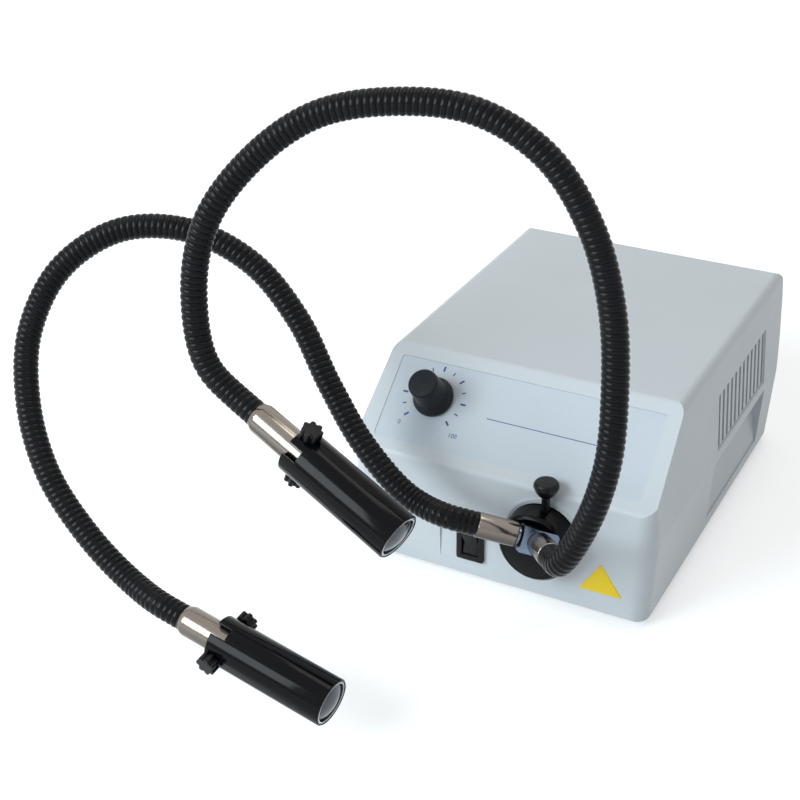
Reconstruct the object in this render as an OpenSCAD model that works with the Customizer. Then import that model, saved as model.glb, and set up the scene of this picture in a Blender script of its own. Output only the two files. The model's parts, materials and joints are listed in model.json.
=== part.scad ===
// Bench fibre optic light source: a cooled lamp case with a twin gooseneck light guide in its port.
// Millimetres, +Z up, the front faces -Y. The origin is the middle of the case's footprint on the bench.

/* [Case] */
// Width of the case at its widest line
case_w = 170; // [164:1:190]
// Depth of the case
case_d = 228; // [222:1:250]
// Height of the case without its feet
case_h = 106; // [104:1:120]
// Height of the widest line above the underside
crease_h = 46; // [44:1:50]
// Height of the sloping panel's lower edge above the underside
panel_low_h = 65; // [63:1:70]
// How far the sloping panel runs back
panel_run = 47; // [44:1:52]
// Thickness of the case walls
wall = 3; // [2.5:0.1:3.5]
// How far the walls lean in from the widest line to the top
lean_top = 4; // [3:0.5:5]
// How far the walls lean in from the widest line to the underside
lean_low = 2.5; // [2:0.5:3]
// Radius of the upright corners
corner_r = 10; // [8:0.5:11]
// Radius of the top and panel edges
edge_r = 5; // [4:0.5:6]
// Height of the rubber feet
foot_h = 5; // [4:0.5:8]
// Radius of the rubber feet
foot_r = 7; // [5:0.5:8]

/* [Louvres and hand scoops] */
// Number of upright air slots on each side
slots = 12; // [8:1:13]
// Distance from one air slot to the next
slot_pitch = 7.4; // [6:0.2:7.8]
// Width of an air slot
slot_w = 3.4; // [2.5:0.1:4]
// Height of the louvre field
louvre_h = 34; // [28:1:40]
// Depth of the recessed louvre field
louvre_deep = 0.8; // [0.5:0.1:1.2]
// Depth of the hand scoop under the louvres
scoop_deep = 7.5; // [6:0.5:9]
// Height of the ledge between louvres and scoop
ledge_h = 3; // [2.5:0.5:4]

/* [Control panel] */
// Width of the panel label
label_w = 148; // [140:1:150]
// Height of the panel label along the slope
label_h = 47; // [44:1:48]
// Thickness of the panel label
label_t = 0.6; // [0.4:0.1:0.8]
// Skirt radius of the intensity knob
knob_skirt_r = 11; // [10.4:0.2:12]
// Grip radius of the intensity knob at its top
knob_top_r = 8; // [7:0.1:8.4]
// Height of the intensity knob
knob_h = 20; // [16:0.5:22]
// Radius of the knob's shaft
knob_shaft_r = 3; // [2.5:0.1:3.2]
// Width of the rocker switch frame
rocker_w = 15.5; // [15:0.5:18]
// Height of the rocker switch frame
rocker_h = 22; // [20:0.5:24]

/* [Light port] */
// Outer radius of the nosepiece
nose_r = 19; // [18:0.1:19.5]
// How far the nosepiece stands out of the case
nose_out = 13.6; // [12.6:0.1:15]
// Bore radius of the nosepiece
nose_bore_r = 12.7; // [12.5:0.1:13]
// Outer radius of the light guide's plug
plug_r = 9; // [8:0.1:9.5]
// Radius of the clamp screw's shank
clamp_shank_r = 2.2; // [2:0.1:2.6]
// Radius of the clamp screw's round head
clamp_head_r = 6.6; // [5.5:0.1:7]

/* [Light guide] */
// Outer radius of the gooseneck over its ribs
hose_r = 6.35; // [5.8:0.05:6.4]
// Depth of the groove between two ribs
rib_deep = 0.6; // [0.4:0.1:0.8]
// Ribs on each of a gooseneck's five lengths
ribs = 18; // [10:1:18]
// Bore radius of the gooseneck
hose_bore_r = 4.4; // [4.2:0.1:4.5]
// Radius of the glass fibre bundle
bundle_r = 3.3; // [3:0.1:3.4]
// Radius of the metal sleeves at the block
sleeve_r = 6.4; // [6.35:0.05:6.6]
// Length of the metal sleeves at the block
sleeve_len = 21; // [18:1:24]
// How far the split block is tipped back
block_tilt = 27.5; // [25:0.5:30]
// How far the split block is turned to the left
block_turn = 12; // [10:0.5:14]
// Height of the split block along its upright edge
block_h = 13; // [12:0.5:15]

/* [Focusing lens units] */
// Outer radius of the lens barrels
barrel_r = 11.7; // [11.5:0.1:13]
// Length of the lens barrels
barrel_len = 64; // [58:1:76]
// Radius of the tip sleeves
tip_r = 7.5; // [7:0.1:7.8]
// Length of the tip sleeves
tip_len = 43; // [41:1:46]
// Length of the right tip sleeve that shows behind its barrel
tip_show = 25; // [23:0.5:26]
// How much further back the left barrel is set
set_back = 5; // [0:0.5:6]
// Radius of the focusing lenses
lens_r = 10.5; // [10:0.1:10.6]

/* [Hidden] */
ARC = 48;
CLEAR = 0.3;
FIT = 0.05;
OVER = 1;

// Right and left goosenecks, the screws and the lens units are numbered 0 and 1.
SIDES = ["right", "left"];
LENGTHS = 5;

// ---- Case: places and outlines, with y = 0 at the front plane and z = 0 at the underside

low_r = 1.5;
seam_run = corner_r + 1;
seam_drop = 1;
rear_lip = 12;
rise = case_h - panel_low_h;
slope_len = norm([panel_run, rise]);
panel_angle = atan2(rise, panel_run);
slope_cos = panel_run / slope_len;
slope_sin = rise / slope_len;
louvre_y = 147;
louvre_z = crease_h + 3.5;
louvre_d = slots * slot_pitch;
scoop_d = 95;
scoop_low = 8;
scoop_wall = 2.5;
post_r = 4.5;
post_inset = 11;
post_back = 16;
post_top = 40;
screw_r = 1.5;
screw_head_r = 3;
screw_head_h = 2;
screw_len = 20;
foot_inset_x = 25;
foot_inset_y = 34;
foot_step = 1.5;
foot_shoulder = 1.2;

port_x = 26.3;
port_z = 39.2;
flange_r = 24;
flange_t = 4;
nose_inner_r = 16;
nose_back = 21;
nose_stop = 9;
lens_seat = 12;
lens_seat_r = 12.2;
stop_r = 9.5;
clamp_x = 2.6;
clamp_y = 4.2;
clamp_rise = 8;
clamp_head_h = 8.6;
pad_t = 2;
collar_r = 21.6;
collar_w = 1.4;
collar_out = 0.6;

knob_x = -48.4;
knob_s = 34.8;
label_s = 7.7;
label_r = 2;
label_drop = 0.3;
pot_r = 8.5;
pot_t = 10;
bush_r = knob_shaft_r + 0.9;
bush_out = 3;
knob_gap = 0.5;
shaft_in = 8;
shaft_out = 13;

rocker_x = -14.7;
rocker_z = 21.8;
rocker_floor = 2.2;
bezel_t = 1.8;
bezel_rim = 3;
switch_deep = 16;
switch_rim = 1.5;
recess_left = 17.7;
recess_right = 14.6;
recess_low = 13.8;
recess_high = 14.5;
button_pivot = 5.5;
button_tilt = 8;
button_gap = 0.5;

inlet_x = 40 - case_w / 2;
inlet_z = 32;
inlet_w = 30;
inlet_h = 34;
inlet_rim = 3;
inlet_deep = 24;
inlet_flange_t = 2.5;
socket_w = 24;
socket_h = 15;
socket_deep = 16;
socket_up = 6.5;
drawer_w = 22;
drawer_h = 7;
drawer_deep = 19;
drawer_down = 9.5;
drawer_lip = 1.2;

fan_x = case_w / 2 - 49;
fan_z = 50;
fan_size = 60;
fan_t = 15;
fan_r = 27.6;
fan_hub_r = 11;
fan_pad = 64;
fan_plane = case_d - lean_top - wall - 1.5;
fan_blades = 7;
grille_r = 26;
grille_bar = 2.6;
grille_pitch = 7;

sink_w = 64;
sink_h = 56;
sink_base = 5;
sink_len = 74;
sink_fins = 9;
sink_fin_t = 2;
sink_z = 10;
led_r = 10;
led_t = 1.6;
led_dome_r = 4;

board_t = 1.6;
board_z = 9;
supply_x = 41 - case_w / 2;
supply_w = 56;
supply_d = case_d - 144;
supply_y = case_d - 28 - supply_d / 2;
driver_x = supply_x;
driver_y = 72;
driver_w = 48;
driver_d = 64;
standoff_r = 3;
standoff_in = 5;

// ---- Light guide: points from the port's axis at the front plane, x right, y back, z up

// Where the two fibre paths part, in front of the port
split_at = [2.6, -(nose_out + 2.5), 8.4];
block_face = 9;
neck_len = 1.4;
neck_r = 4.5;
guide_flange_r = 14;
guide_flange_t = 2.5;
sleeve_edge = 0.5;
tip_taper = 3;
hose_gap = 2.2;
ball_r = 3.65;
ball_clear = 4.1;
BORE_STEPS = 8;
CORE_STEPS = 8;
HOSE_SIDES = 8;
CORE_SIDES = 6;
STEPS = 8;

// Where each gooseneck ends, and its heading and dip there
HOSE_END = [[-104, -96, 93], [-123, -139, 0]];
TIP_HEADING = [-11, -4];
TIP_DIP = [22, 10.5];
// Angle of the first barrel screw and of the slot round each barrel
SCREW_ROLL = [180, 100];
SLOT_ROLL = [235, 205];

// Route of each gooseneck between its straight ends
BENDS = [
    [[41, -54, 48], [49, -50, 81], [47, -40, 115], [41, -33, 150], [28, -29, 184], [6, -29, 213],
     [-24, -33, 229], [-60, -41, 231], [-94, -51, 223], [-121, -63, 202], [-139, -76, 173],
     [-142, -85, 140], [-131, -92, 108]],
    [[-55, -34, 25], [-84, -31, 46], [-109, -22, 71], [-130, -16, 101], [-156, -15, 126],
     [-187, -23, 141], [-219, -38, 141], [-242, -59, 124], [-248, -81, 97], [-239, -99, 67],
     [-219, -114, 41], [-191, -124, 20], [-158, -132, 5]]
];

function unit(v) = v / norm(v);

function tipped(v) = [v.x, v.y * cos(block_tilt) + v.z * sin(block_tilt), v.z * cos(block_tilt) - v.y * sin(block_tilt)];
function turned(v) = [v.x * cos(block_turn) + v.y * sin(block_turn), v.y * cos(block_turn) - v.x * sin(block_turn), v.z];
function sleeve_dir(arm) = turned(tipped([arm == 0 ? sin(45) : -sin(45), -cos(45), 0]));
function tip_dir(arm) = [cos(TIP_DIP[arm]) * cos(TIP_HEADING[arm]), cos(TIP_DIP[arm]) * sin(TIP_HEADING[arm]), -sin(TIP_DIP[arm])];
function sleeve_start(arm) = split_at + (block_face + neck_len) * sleeve_dir(arm);
function hose_start(arm) = sleeve_start(arm) + sleeve_len * sleeve_dir(arm);

// Both ends of a gooseneck run straight for one diameter
function route(arm) = concat(
    [sleeve_start(arm)],
    [for (k = [0 : 2]) hose_start(arm) + k * hose_r * sleeve_dir(arm)],
    BENDS[arm],
    [for (k = [2 : -1 : 0]) HOSE_END[arm] - k * hose_r * tip_dir(arm)],
    [HOSE_END[arm] + tip_len * tip_dir(arm)]);

// Smooth curve through the route, then its arc lengths, so that ribs can be spaced evenly
function with_ends(p) = concat([2 * p[0] - p[1]], p, [2 * p[len(p) - 1] - p[len(p) - 2]]);
function slope_at(a, b, c) =
    let (p = norm(b - a), q = norm(c - b)) ((b - a) * q / p + (c - b) * p / q) / (p + q);
function blend(a, b, c, d, t) =
    let (q = norm(c - b), m = q * slope_at(a, b, c), n = q * slope_at(b, c, d), w = t * t * (3 - 2 * t))
    (1 - w) * b + w * c + t * (1 - t) * ((1 - t) * m - t * n);
function curve(p) = let (e = with_ends(p)) concat(
    [for (i = [1 : len(p) - 1], k = [0 : STEPS - 1]) blend(e[i - 1], e[i], e[i + 1], e[i + 2], k / STEPS)],
    [p[len(p) - 1]]);
function run_lengths(q) = [for (i = 0, s = 0; i < len(q); s = s + norm(q[min(i + 1, len(q) - 1)] - q[i]), i = i + 1) s];
CURVES = [for (arm = [0, 1]) curve(route(arm))];
RUNS = [for (arm = [0, 1]) run_lengths(CURVES[arm])];
TABLES = [for (arm = [0, 1]) [for (k = [0 : 2]) [for (i = [0 : len(RUNS[arm]) - 1]) [RUNS[arm][i], CURVES[arm][i][k]]]]];
total_run = [for (arm = [0, 1]) RUNS[arm][len(RUNS[arm]) - 1]];
hose_run = [for (arm = [0, 1]) total_run[arm] - tip_len - sleeve_len];

function place(arm, s) = [for (k = [0 : 2]) lookup(s, TABLES[arm][k])];
function heading(arm, s) = unit(place(arm, s + 0.5) - place(arm, s - 0.5));
function ring(arm, s, r, n) =
    let (t = heading(arm, s), u = unit(cross(t, [0, 1, 0])), v = cross(u, t))
    [for (k = [0 : n - 1]) place(arm, s) + r * (cos(360 * k / n) * u + sin(360 * k / n) * v)];

// Arc length of pivot i, from the sleeve's start; pivots 0 and LENGTHS are the hose's own ends
function pivot(arm, i) = sleeve_len + hose_run[arm] * i / LENGTHS;
function from_run(arm, i) = pivot(arm, i) + (i > 0 ? hose_gap / 2 : 0);
function to_run(arm, i) = pivot(arm, i + 1) - (i < LENGTHS - 1 ? hose_gap / 2 : 0);

function wall_faces(base, rings, n, flip) = [for (i = [0 : rings - 2], k = [0 : n - 1])
    let (a = base + i * n + k, b = base + i * n + (k + 1) % n, c = b + n, d = a + n)
    each flip ? [[a, c, b], [a, d, c]] : [[a, b, c], [a, c, d]]];

// A tube swept along the route: outer and inner hold [arc length, radius] pairs
module swept_pipe(arm, outer, inner, n) {
    pts = [for (s = concat(outer, inner)) each ring(arm, s[0], s[1], n)];
    base = len(outer) * n;
    last = (len(outer) - 1) * n;
    last_in = base + (len(inner) - 1) * n;
    near = [for (k = [0 : n - 1]) let (j = (k + 1) % n) each [[k, base + k, base + j], [k, base + j, j]]];
    far = [for (k = [0 : n - 1]) let (j = (k + 1) % n)
        each [[last + k, last_in + j, last_in + k], [last + k, last + j, last_in + j]]];
    polyhedron(pts, concat(wall_faces(0, len(outer), n, false), wall_faces(base, len(inner), n, true), near, far));
}

// A solid rod swept along the route, with an [arc length, radius] pair for each ring
module swept_rod(arm, rings, n) {
    pts = [for (s = rings) each ring(arm, s[0], s[1], n)];
    last = (len(rings) - 1) * n;
    near = [for (k = [1 : n - 2]) [0, k + 1, k]];
    far = [for (k = [1 : n - 2]) [last, last + k, last + k + 1]];
    polyhedron(pts, concat(wall_faces(0, len(rings), n, false), near, far));
}

// ---- Frames

module in_case() translate([0, -case_d / 2, foot_h]) children();
module on_panel() in_case() translate([0, 0, panel_low_h]) rotate([panel_angle, 0, 0]) children();
// The port's axis points out of the front, with +Z of this frame along it
module on_port() in_case() translate([port_x, 0, port_z]) rotate([90, 0, 0]) children();
module in_guide() in_case() translate([port_x, 0, port_z]) children();
module along(v) rotate([0, acos(v.z / norm(v)), atan2(v.y, v.x)]) children();
// A tip sleeve's frame: +Z along the sleeve, from the hose's end
module at_tip(arm) in_guide() translate(HOSE_END[arm]) along(tip_dir(arm)) children();
module on_both() {
    children();
    mirror([1, 0, 0]) children();
}

// ---- Outlines

function arc_points(a, p, b, r) =
    let (half = acos(unit(a - p) * unit(b - p)) / 2,
         c = p + unit(unit(a - p) + unit(b - p)) * r / sin(half),
         from = p + unit(a - p) * r / tan(half) - c,
         to = p + unit(b - p) * r / tan(half) - c,
         start = atan2(from.y, from.x),
         turn = (atan2(to.y, to.x) - start + 540) % 360 - 180)
    [for (k = [0 : 6]) c + r * [cos(start + turn * k / 6), sin(start + turn * k / 6)]];
function rounded(p, r) = [for (i = [0 : len(p) - 1])
    each r[i] > 0 ? arc_points(p[(i + len(p) - 1) % len(p)], p[i], p[(i + 1) % len(p)], r[i]) : [p[i]]];
function rectangle(w, h) = [[-w / 2, -h / 2], [w / 2, -h / 2], [w / 2, h / 2], [-w / 2, h / 2]];
function all_round(w, h, r) = rounded(rectangle(w, h), [r, r, r, r]);

// The case's outlines, drawn in by t for its inside
function front_outline(t) = [
    [t + lean_low - case_w / 2, t], [case_w / 2 - lean_low - t, t], [case_w / 2 - t, crease_h],
    [case_w / 2 - lean_top - t, case_h - t], [t + lean_top - case_w / 2, case_h - t], [t - case_w / 2, crease_h]];
function side_outline(t) = [
    [lean_low + t, t], [case_d - lean_low - t, t], [case_d - t, crease_h], [case_d - lean_top - t, case_h - t],
    [(t + (rise - t) * slope_cos) / slope_sin, case_h - t], [t, panel_low_h - t * (1 - slope_sin) / slope_cos],
    [t, crease_h]];
function side_x(z) = case_w / 2 - (z > crease_h
    ? lean_top * (z - crease_h) / (case_h - crease_h)
    : lean_low * (crease_h - z) / crease_h);

module case_block(t) {
    low = max(low_r - t, 0.5);
    top = max(edge_r - t, 0.5);
    intersection() {
        translate([0, case_d + OVER, 0])
            rotate([90, 0, 0])
                linear_extrude(case_d + 2 * OVER)
                    polygon(rounded(front_outline(t), [low, low, 0, top, top, 0]));
        rotate([90, 0, 90])
            linear_extrude(2 * case_w, center = true)
                polygon(rounded(side_outline(t), [low, low, 0, top, top, top, 0]));
        translate([0, case_d / 2, -OVER])
            linear_extrude(case_h + 2 * OVER)
                polygon(all_round(case_w - 2 * t, case_d - 2 * t, corner_r - t));
    }
}

// The space of the lower case: a tray with raised front and rear walls
module tray_zone() {
    translate([-case_w, -OVER, -OVER]) cube([2 * case_w, case_d + 2 * OVER, crease_h + OVER]);
    translate([-case_w, -OVER, -OVER]) cube([2 * case_w, seam_run + OVER, panel_low_h - seam_drop + OVER]);
    translate([-case_w, case_d - seam_run, -OVER]) cube([2 * case_w, seam_run + OVER, case_h - rear_lip + OVER]);
}

module shell() difference() {
    case_block(0);
    case_block(wall);
}

module at_posts() for (x = [-1, 1], y = [post_back, case_d - post_back])
    translate([x * (case_w / 2 - post_inset), y, 0]) children();

module at_feet() for (x = [-1, 1], y = [foot_inset_y, case_d - foot_inset_y])
    translate([x * (case_w / 2 - foot_inset_x), y, 0]) children();

// ---- Upper cover

module louvres() {
    first = louvre_y - louvre_d / 2;
    translate([0, first + louvre_d, 0]) rotate([90, 0, 0]) linear_extrude(louvre_d)
        polygon([[side_x(louvre_z) - louvre_deep, louvre_z], [case_w, louvre_z],
                 [case_w, louvre_z + louvre_h], [side_x(louvre_z + louvre_h) - louvre_deep, louvre_z + louvre_h]]);
    for (i = [0 : slots - 1])
        translate([case_w / 2 - lean_top - 3 * wall, first + slot_pitch * (i + 0.5) - slot_w / 2, louvre_z + 1])
            cube([4 * wall + lean_top, slot_w, louvre_h - 2]);
}

module upper_cover() color("gainsboro") difference() {
    union() {
        in_case() difference() {
            shell();
            tray_zone();
        }
        in_case() intersection() {
            case_block(wall / 2);
            at_posts() translate([0, 0, post_top]) cylinder(r = post_r, h = case_h, $fn = ARC);
        }
    }
    in_case() on_both() louvres();
    in_case() at_posts() translate([0, 0, post_top - OVER])
        cylinder(r = screw_r, h = screw_len + screw_head_h, $fn = ARC);
    on_panel() translate([0, label_s + label_h / 2, -label_t - label_drop])
        linear_extrude(OVER + label_t + label_drop) polygon(all_round(label_w, label_h, label_r));
    on_panel() translate([knob_x, knob_s, -2 * wall]) cylinder(r = bush_r + FIT, h = 3 * wall, $fn = ARC);
}

// ---- Lower case

module scoop(grow) {
    top = crease_h - ledge_h + grow;
    low = scoop_low - grow;
    translate([0, louvre_y + scoop_d / 2 + grow, 0]) rotate([90, 0, 0]) linear_extrude(scoop_d + 2 * grow)
        polygon([[case_w, low], [side_x(scoop_low) - 0.8 - grow, low],
                 [case_w / 2 - scoop_deep - grow, top - 4], [case_w / 2 - scoop_deep + 1 - grow, top], [case_w, top]]);
}

module rail(x, y, w, d, h) translate([x - w / 2, y, wall / 2]) cube([w, d, h - wall / 2]);

module standoffs(x, y, w, d) for (i = [-1, 1], j = [-1, 1])
    translate([x + i * (w / 2 - standoff_in), y + j * (d / 2 - standoff_in), wall / 2])
        cylinder(r = standoff_r, h = board_z - wall / 2, $fn = ARC);

module fan_grille() translate([fan_x, case_d + OVER, fan_z]) rotate([90, 0, 0]) intersection() {
    cylinder(r = grille_r, h = lean_top + 2 * wall + 4, $fn = ARC);
    for (i = [-4 : 4])
        translate([-case_w / 2, i * grille_pitch - (grille_pitch - grille_bar) / 2, 0])
            cube([case_w, grille_pitch - grille_bar, case_d]);
}

module lower_case() color("gainsboro") difference() {
    union() {
        in_case() intersection() {
            shell();
            tray_zone();
        }
        in_case() intersection() {
            case_block(wall / 2);
            union() {
                at_posts() cylinder(r = post_r, h = post_top, $fn = ARC);
                on_both() scoop(scoop_wall);
                translate([fan_x - fan_pad / 2, fan_plane, fan_z - fan_pad / 2]) cube([fan_pad, case_d, fan_pad]);
                rail(port_x - sink_w / 3, nose_back, 6, sink_len, sink_z);
                rail(port_x + sink_w / 3, nose_back, 6, sink_len, sink_z);
                standoffs(supply_x, supply_y, supply_w, supply_d);
                standoffs(driver_x, driver_y, driver_w, driver_d);
            }
        }
        on_port() translate([0, 0, -wall]) difference() {
            cylinder(r = collar_r, h = wall + collar_out, $fn = ARC);
            cylinder(r = collar_r - collar_w, h = 3 * wall, $fn = ARC);
        }
    }
    in_case() on_both() scoop(0);
    in_case() at_posts() {
        translate([0, 0, -OVER]) cylinder(r = screw_r + 0.2, h = post_top + 2 * OVER, $fn = ARC);
        translate([0, 0, -OVER]) cylinder(r = screw_head_r + 0.2, h = post_top - screw_len / 2 + OVER, $fn = ARC);
    }
    in_case() at_feet() translate([0, 0, -OVER])
        cylinder(r = foot_r - foot_shoulder, h = OVER + foot_step, $fn = ARC);
    on_port() translate([0, 0, -2 * wall]) cylinder(r = nose_r, h = 4 * wall, $fn = ARC);
    in_case() translate([rocker_x - recess_left, -OVER, rocker_z - recess_low])
        cube([recess_left + recess_right, rocker_floor + OVER, recess_low + recess_high]);
    in_case() translate([rocker_x - rocker_w / 2 + switch_rim, -OVER, rocker_z - rocker_h / 2 + switch_rim])
        cube([rocker_w - 2 * switch_rim, 4 * wall, rocker_h - 2 * switch_rim]);
    in_case() translate([inlet_x - inlet_w / 2 - inlet_rim, case_d - inlet_flange_t, inlet_z - inlet_h / 2 - inlet_rim])
        cube([inlet_w + 2 * inlet_rim, 3 * wall, inlet_h + 2 * inlet_rim]);
    in_case() translate([inlet_x - inlet_w / 2, case_d - 4 * wall, inlet_z - inlet_h / 2])
        cube([inlet_w, 6 * wall, inlet_h]);
    in_case() fan_grille();
}

module rubber_feet() color("dimgray") in_case() at_feet() difference() {
    union() {
        translate([0, 0, -foot_h]) cylinder(r = foot_r, h = foot_h, $fn = ARC);
        translate([0, 0, -foot_h / 2]) cylinder(r = foot_r - foot_shoulder, h = foot_h / 2 + foot_step, $fn = ARC);
    }
    translate([0, 0, -foot_h - OVER]) cylinder(r = foot_r / 3, h = foot_h / 2 + OVER, $fn = ARC);
}

module case_screws() color("silver") in_case() at_posts() {
    head_z = post_top - screw_len / 2;
    translate([0, 0, head_z - screw_head_h]) cylinder(r = screw_head_r, h = screw_head_h, $fn = ARC);
    translate([0, 0, head_z]) cylinder(r = screw_r, h = screw_len, $fn = ARC);
}

// ---- Control panel

module control_label() color("lightsteelblue") on_panel() difference() {
    translate([0, label_s + label_h / 2, -label_t - label_drop])
        linear_extrude(label_t) polygon(all_round(label_w - 2 * FIT, label_h - 2 * FIT, label_r));
    translate([knob_x, knob_s, -2 * OVER]) cylinder(r = bush_r + FIT, h = 3 * OVER, $fn = ARC);
}

module on_knob() on_panel() translate([knob_x, knob_s, 0]) children();

module intensity_knob() color("dimgray") on_knob() rotate_extrude($fn = ARC)
    polygon([[knob_shaft_r + FIT, knob_gap + bush_out], [knob_shaft_r + FIT, shaft_out + knob_gap],
             [0, shaft_out + knob_gap], [0, knob_gap + knob_h], [knob_top_r - 0.8, knob_gap + knob_h],
             [knob_top_r, knob_gap + knob_h - 0.8], [knob_top_r + 0.7, knob_gap + 5], [knob_skirt_r - 1, knob_gap + 3.2],
             [knob_skirt_r, knob_gap + 2], [knob_skirt_r, knob_gap], [bush_r + 2, knob_gap],
             [bush_r + 2, knob_gap + bush_out]]);

module knob_shaft() color("silver") on_knob() translate([0, 0, -wall - shaft_in])
    cylinder(r = knob_shaft_r, h = wall + shaft_in + shaft_out, $fn = ARC);

module control_pot() color("slategray") on_knob() difference() {
    union() {
        translate([0, 0, -wall - pot_t]) cylinder(r = pot_r, h = pot_t, $fn = ARC);
        translate([0, 0, -wall]) cylinder(r = bush_r, h = wall + bush_out - knob_gap, $fn = ARC);
        translate([0, 0, 0]) cylinder(r = bush_r + 1.6, h = bush_out - 1, $fn = 6);
        translate([-pot_r, -pot_r - 5, -wall - pot_t + 2]) cube([2 * pot_r, 6, 1.6]);
    }
    translate([0, 0, -wall - shaft_in - CLEAR])
        cylinder(r = knob_shaft_r + FIT, h = 3 * wall + shaft_in + bush_out, $fn = ARC);
}

// ---- Rocker switch

module at_rocker() in_case() translate([rocker_x, rocker_floor, rocker_z]) children();
button_w = rocker_w - 2 * bezel_rim;
button_h = rocker_h - 2 * bezel_rim;

module rocker_frame() color("#202020") at_rocker() difference() {
    union() {
        translate([0, 0, 0]) rotate([90, 0, 0]) linear_extrude(bezel_t)
            polygon(all_round(rocker_w, rocker_h, 1.2));
        translate([-rocker_w / 2 + switch_rim, 0, -rocker_h / 2 + switch_rim])
            cube([rocker_w - 2 * switch_rim, switch_deep, rocker_h - 2 * switch_rim]);
        for (i = [-1, 1]) translate([-2.4, switch_deep, i * 5 - 0.4]) cube([4.8, 7, 0.8]);
    }
    translate([-button_w / 2, -3 * bezel_t, -button_h / 2]) cube([button_w, 3 * bezel_t + switch_deep - 3, button_h]);
}

module rocker_button() color("#2a2a2a") at_rocker()
    translate([0, button_pivot - bezel_t, 0]) rotate([button_tilt, 0, 0]) rotate([90, 0, 90])
        linear_extrude(button_w - 2 * button_gap, center = true)
            polygon([[-button_pivot - 0.4, button_h / 2 - 1.3], [-button_pivot + 1.2, 0],
                     [-button_pivot - 0.4, 1.3 - button_h / 2], [-1, 1.3 - button_h / 2], [3.5, -2.5],
                     [3.5, 2.5], [-1, button_h / 2 - 1.3]]);

// ---- Light port

module nosepiece() color("#181818") difference() {
    on_port() rotate_extrude($fn = 2 * ARC) polygon([
        [nose_bore_r, -nose_stop], [nose_bore_r, nose_out - 1], [nose_bore_r + 1, nose_out], [nose_r - 1.6, nose_out],
        [nose_r, nose_out - 1.6], [nose_r, -wall - lean_low], [flange_r, -wall - lean_low],
        [flange_r, -wall - lean_low - flange_t], [nose_inner_r, -wall - lean_low - flange_t], [nose_inner_r, -nose_back],
        [lens_seat_r, -nose_back], [lens_seat_r, -lens_seat], [stop_r, -lens_seat], [stop_r, -nose_stop]]);
    on_port() translate([clamp_x, 0, clamp_y]) rotate([-90, 0, 0])
        cylinder(r = clamp_shank_r + FIT, h = 2 * nose_r, $fn = ARC);
}

module port_adapter() color("#303034") on_port() difference() {
    translate([0, 0, -nose_stop]) cylinder(r = nose_bore_r - 2 * FIT, h = nose_stop + nose_out - 1, $fn = 2 * ARC);
    translate([0, 0, -nose_stop - OVER]) cylinder(r = plug_r + FIT, h = nose_stop + nose_out + OVER, $fn = 2 * ARC);
}

module on_clamp() on_port() translate([clamp_x, 0, clamp_y]) rotate([-90, 0, 0]) children();

module clamp_pad() color("white") on_clamp() translate([0, 0, nose_bore_r]) cylinder(r = clamp_shank_r, h = pad_t, $fn = ARC);

module clamp_screw() color("#101010") on_clamp() {
    neck = nose_r + clamp_rise;
    translate([0, 0, nose_bore_r + pad_t]) cylinder(r = clamp_shank_r, h = neck - nose_bore_r - pad_t, $fn = ARC);
    translate([0, 0, neck]) rotate_extrude($fn = ARC) polygon([
        [0, 0], [clamp_shank_r + 0.6, 0], [clamp_shank_r + 2, clamp_head_h * 0.14], [clamp_head_r - 0.9, clamp_head_h * 0.42],
        [clamp_head_r, clamp_head_h * 0.68], [clamp_head_r - 0.3, clamp_head_h * 0.87], [clamp_head_r - 1.3, clamp_head_h],
        [0, clamp_head_h]]);
}

module condenser_lens() color("lightcyan") on_port() intersection() {
    translate([0, 0, -lens_seat - 5]) cylinder(r = lens_seat_r - FIT, h = 5, $fn = 2 * ARC);
    translate([0, 0, -lens_seat - 22]) sphere(r = 22, $fn = 2 * ARC);
}

module led_board() color("white") on_port() {
    translate([0, 0, -nose_back]) cylinder(r = led_r, h = led_t, $fn = ARC);
    translate([0, 0, led_t - nose_back]) cylinder(r = led_dome_r, h = 1, $fn = ARC);
}

module led_heat_sink() color("silver") in_case() translate([port_x - sink_w / 2, nose_back, sink_z]) {
    cube([sink_w, sink_base, sink_h]);
    for (i = [0 : sink_fins - 1])
        translate([i * (sink_w - sink_fin_t) / (sink_fins - 1), 0, 0]) cube([sink_fin_t, sink_len, sink_h]);
}

// ---- Fan, boards and mains inlet

module at_fan() in_case() translate([fan_x, fan_plane, fan_z]) rotate([90, 0, 0]) children();

module fan_frame() color("#252525") at_fan() {
    difference() {
        translate([-fan_size / 2, -fan_size / 2, 0]) cube([fan_size, fan_size, fan_t]);
        translate([0, 0, -OVER]) cylinder(r = fan_r + 0.9, h = fan_t + 2 * OVER, $fn = ARC);
        for (x = [-1, 1], y = [-1, 1]) translate([x * fan_size * 0.42, y * fan_size * 0.42, -OVER])
            cylinder(r = 2, h = fan_t + 2 * OVER, $fn = ARC);
    }
    translate([0, 0, fan_t - 2.3]) difference() {
        union() {
            cylinder(r = fan_hub_r, h = 2, $fn = ARC);
            for (a = [30, 150, 270]) rotate(a) translate([0, -1.5, 0]) cube([fan_r + 1.5, 3, 2]);
        }
        translate([0, 0, -OVER]) cylinder(r = 1.5 + FIT, h = 2 + 2 * OVER, $fn = ARC);
    }
}

module fan_rotor() color("#353535") at_fan() {
    translate([0, 0, 2]) cylinder(r = fan_hub_r, h = fan_t - 4.8, $fn = ARC);
    translate([0, 0, fan_t - 4]) cylinder(r = 1.5, h = 4, $fn = ARC);
    for (i = [0 : fan_blades - 1]) rotate(360 * i / fan_blades) translate([fan_hub_r - 1, 0, 7])
        rotate([38, 0, 0]) translate([0, -5.5, -0.6]) cube([fan_r - fan_hub_r, 11, 1.2]);
}

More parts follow.
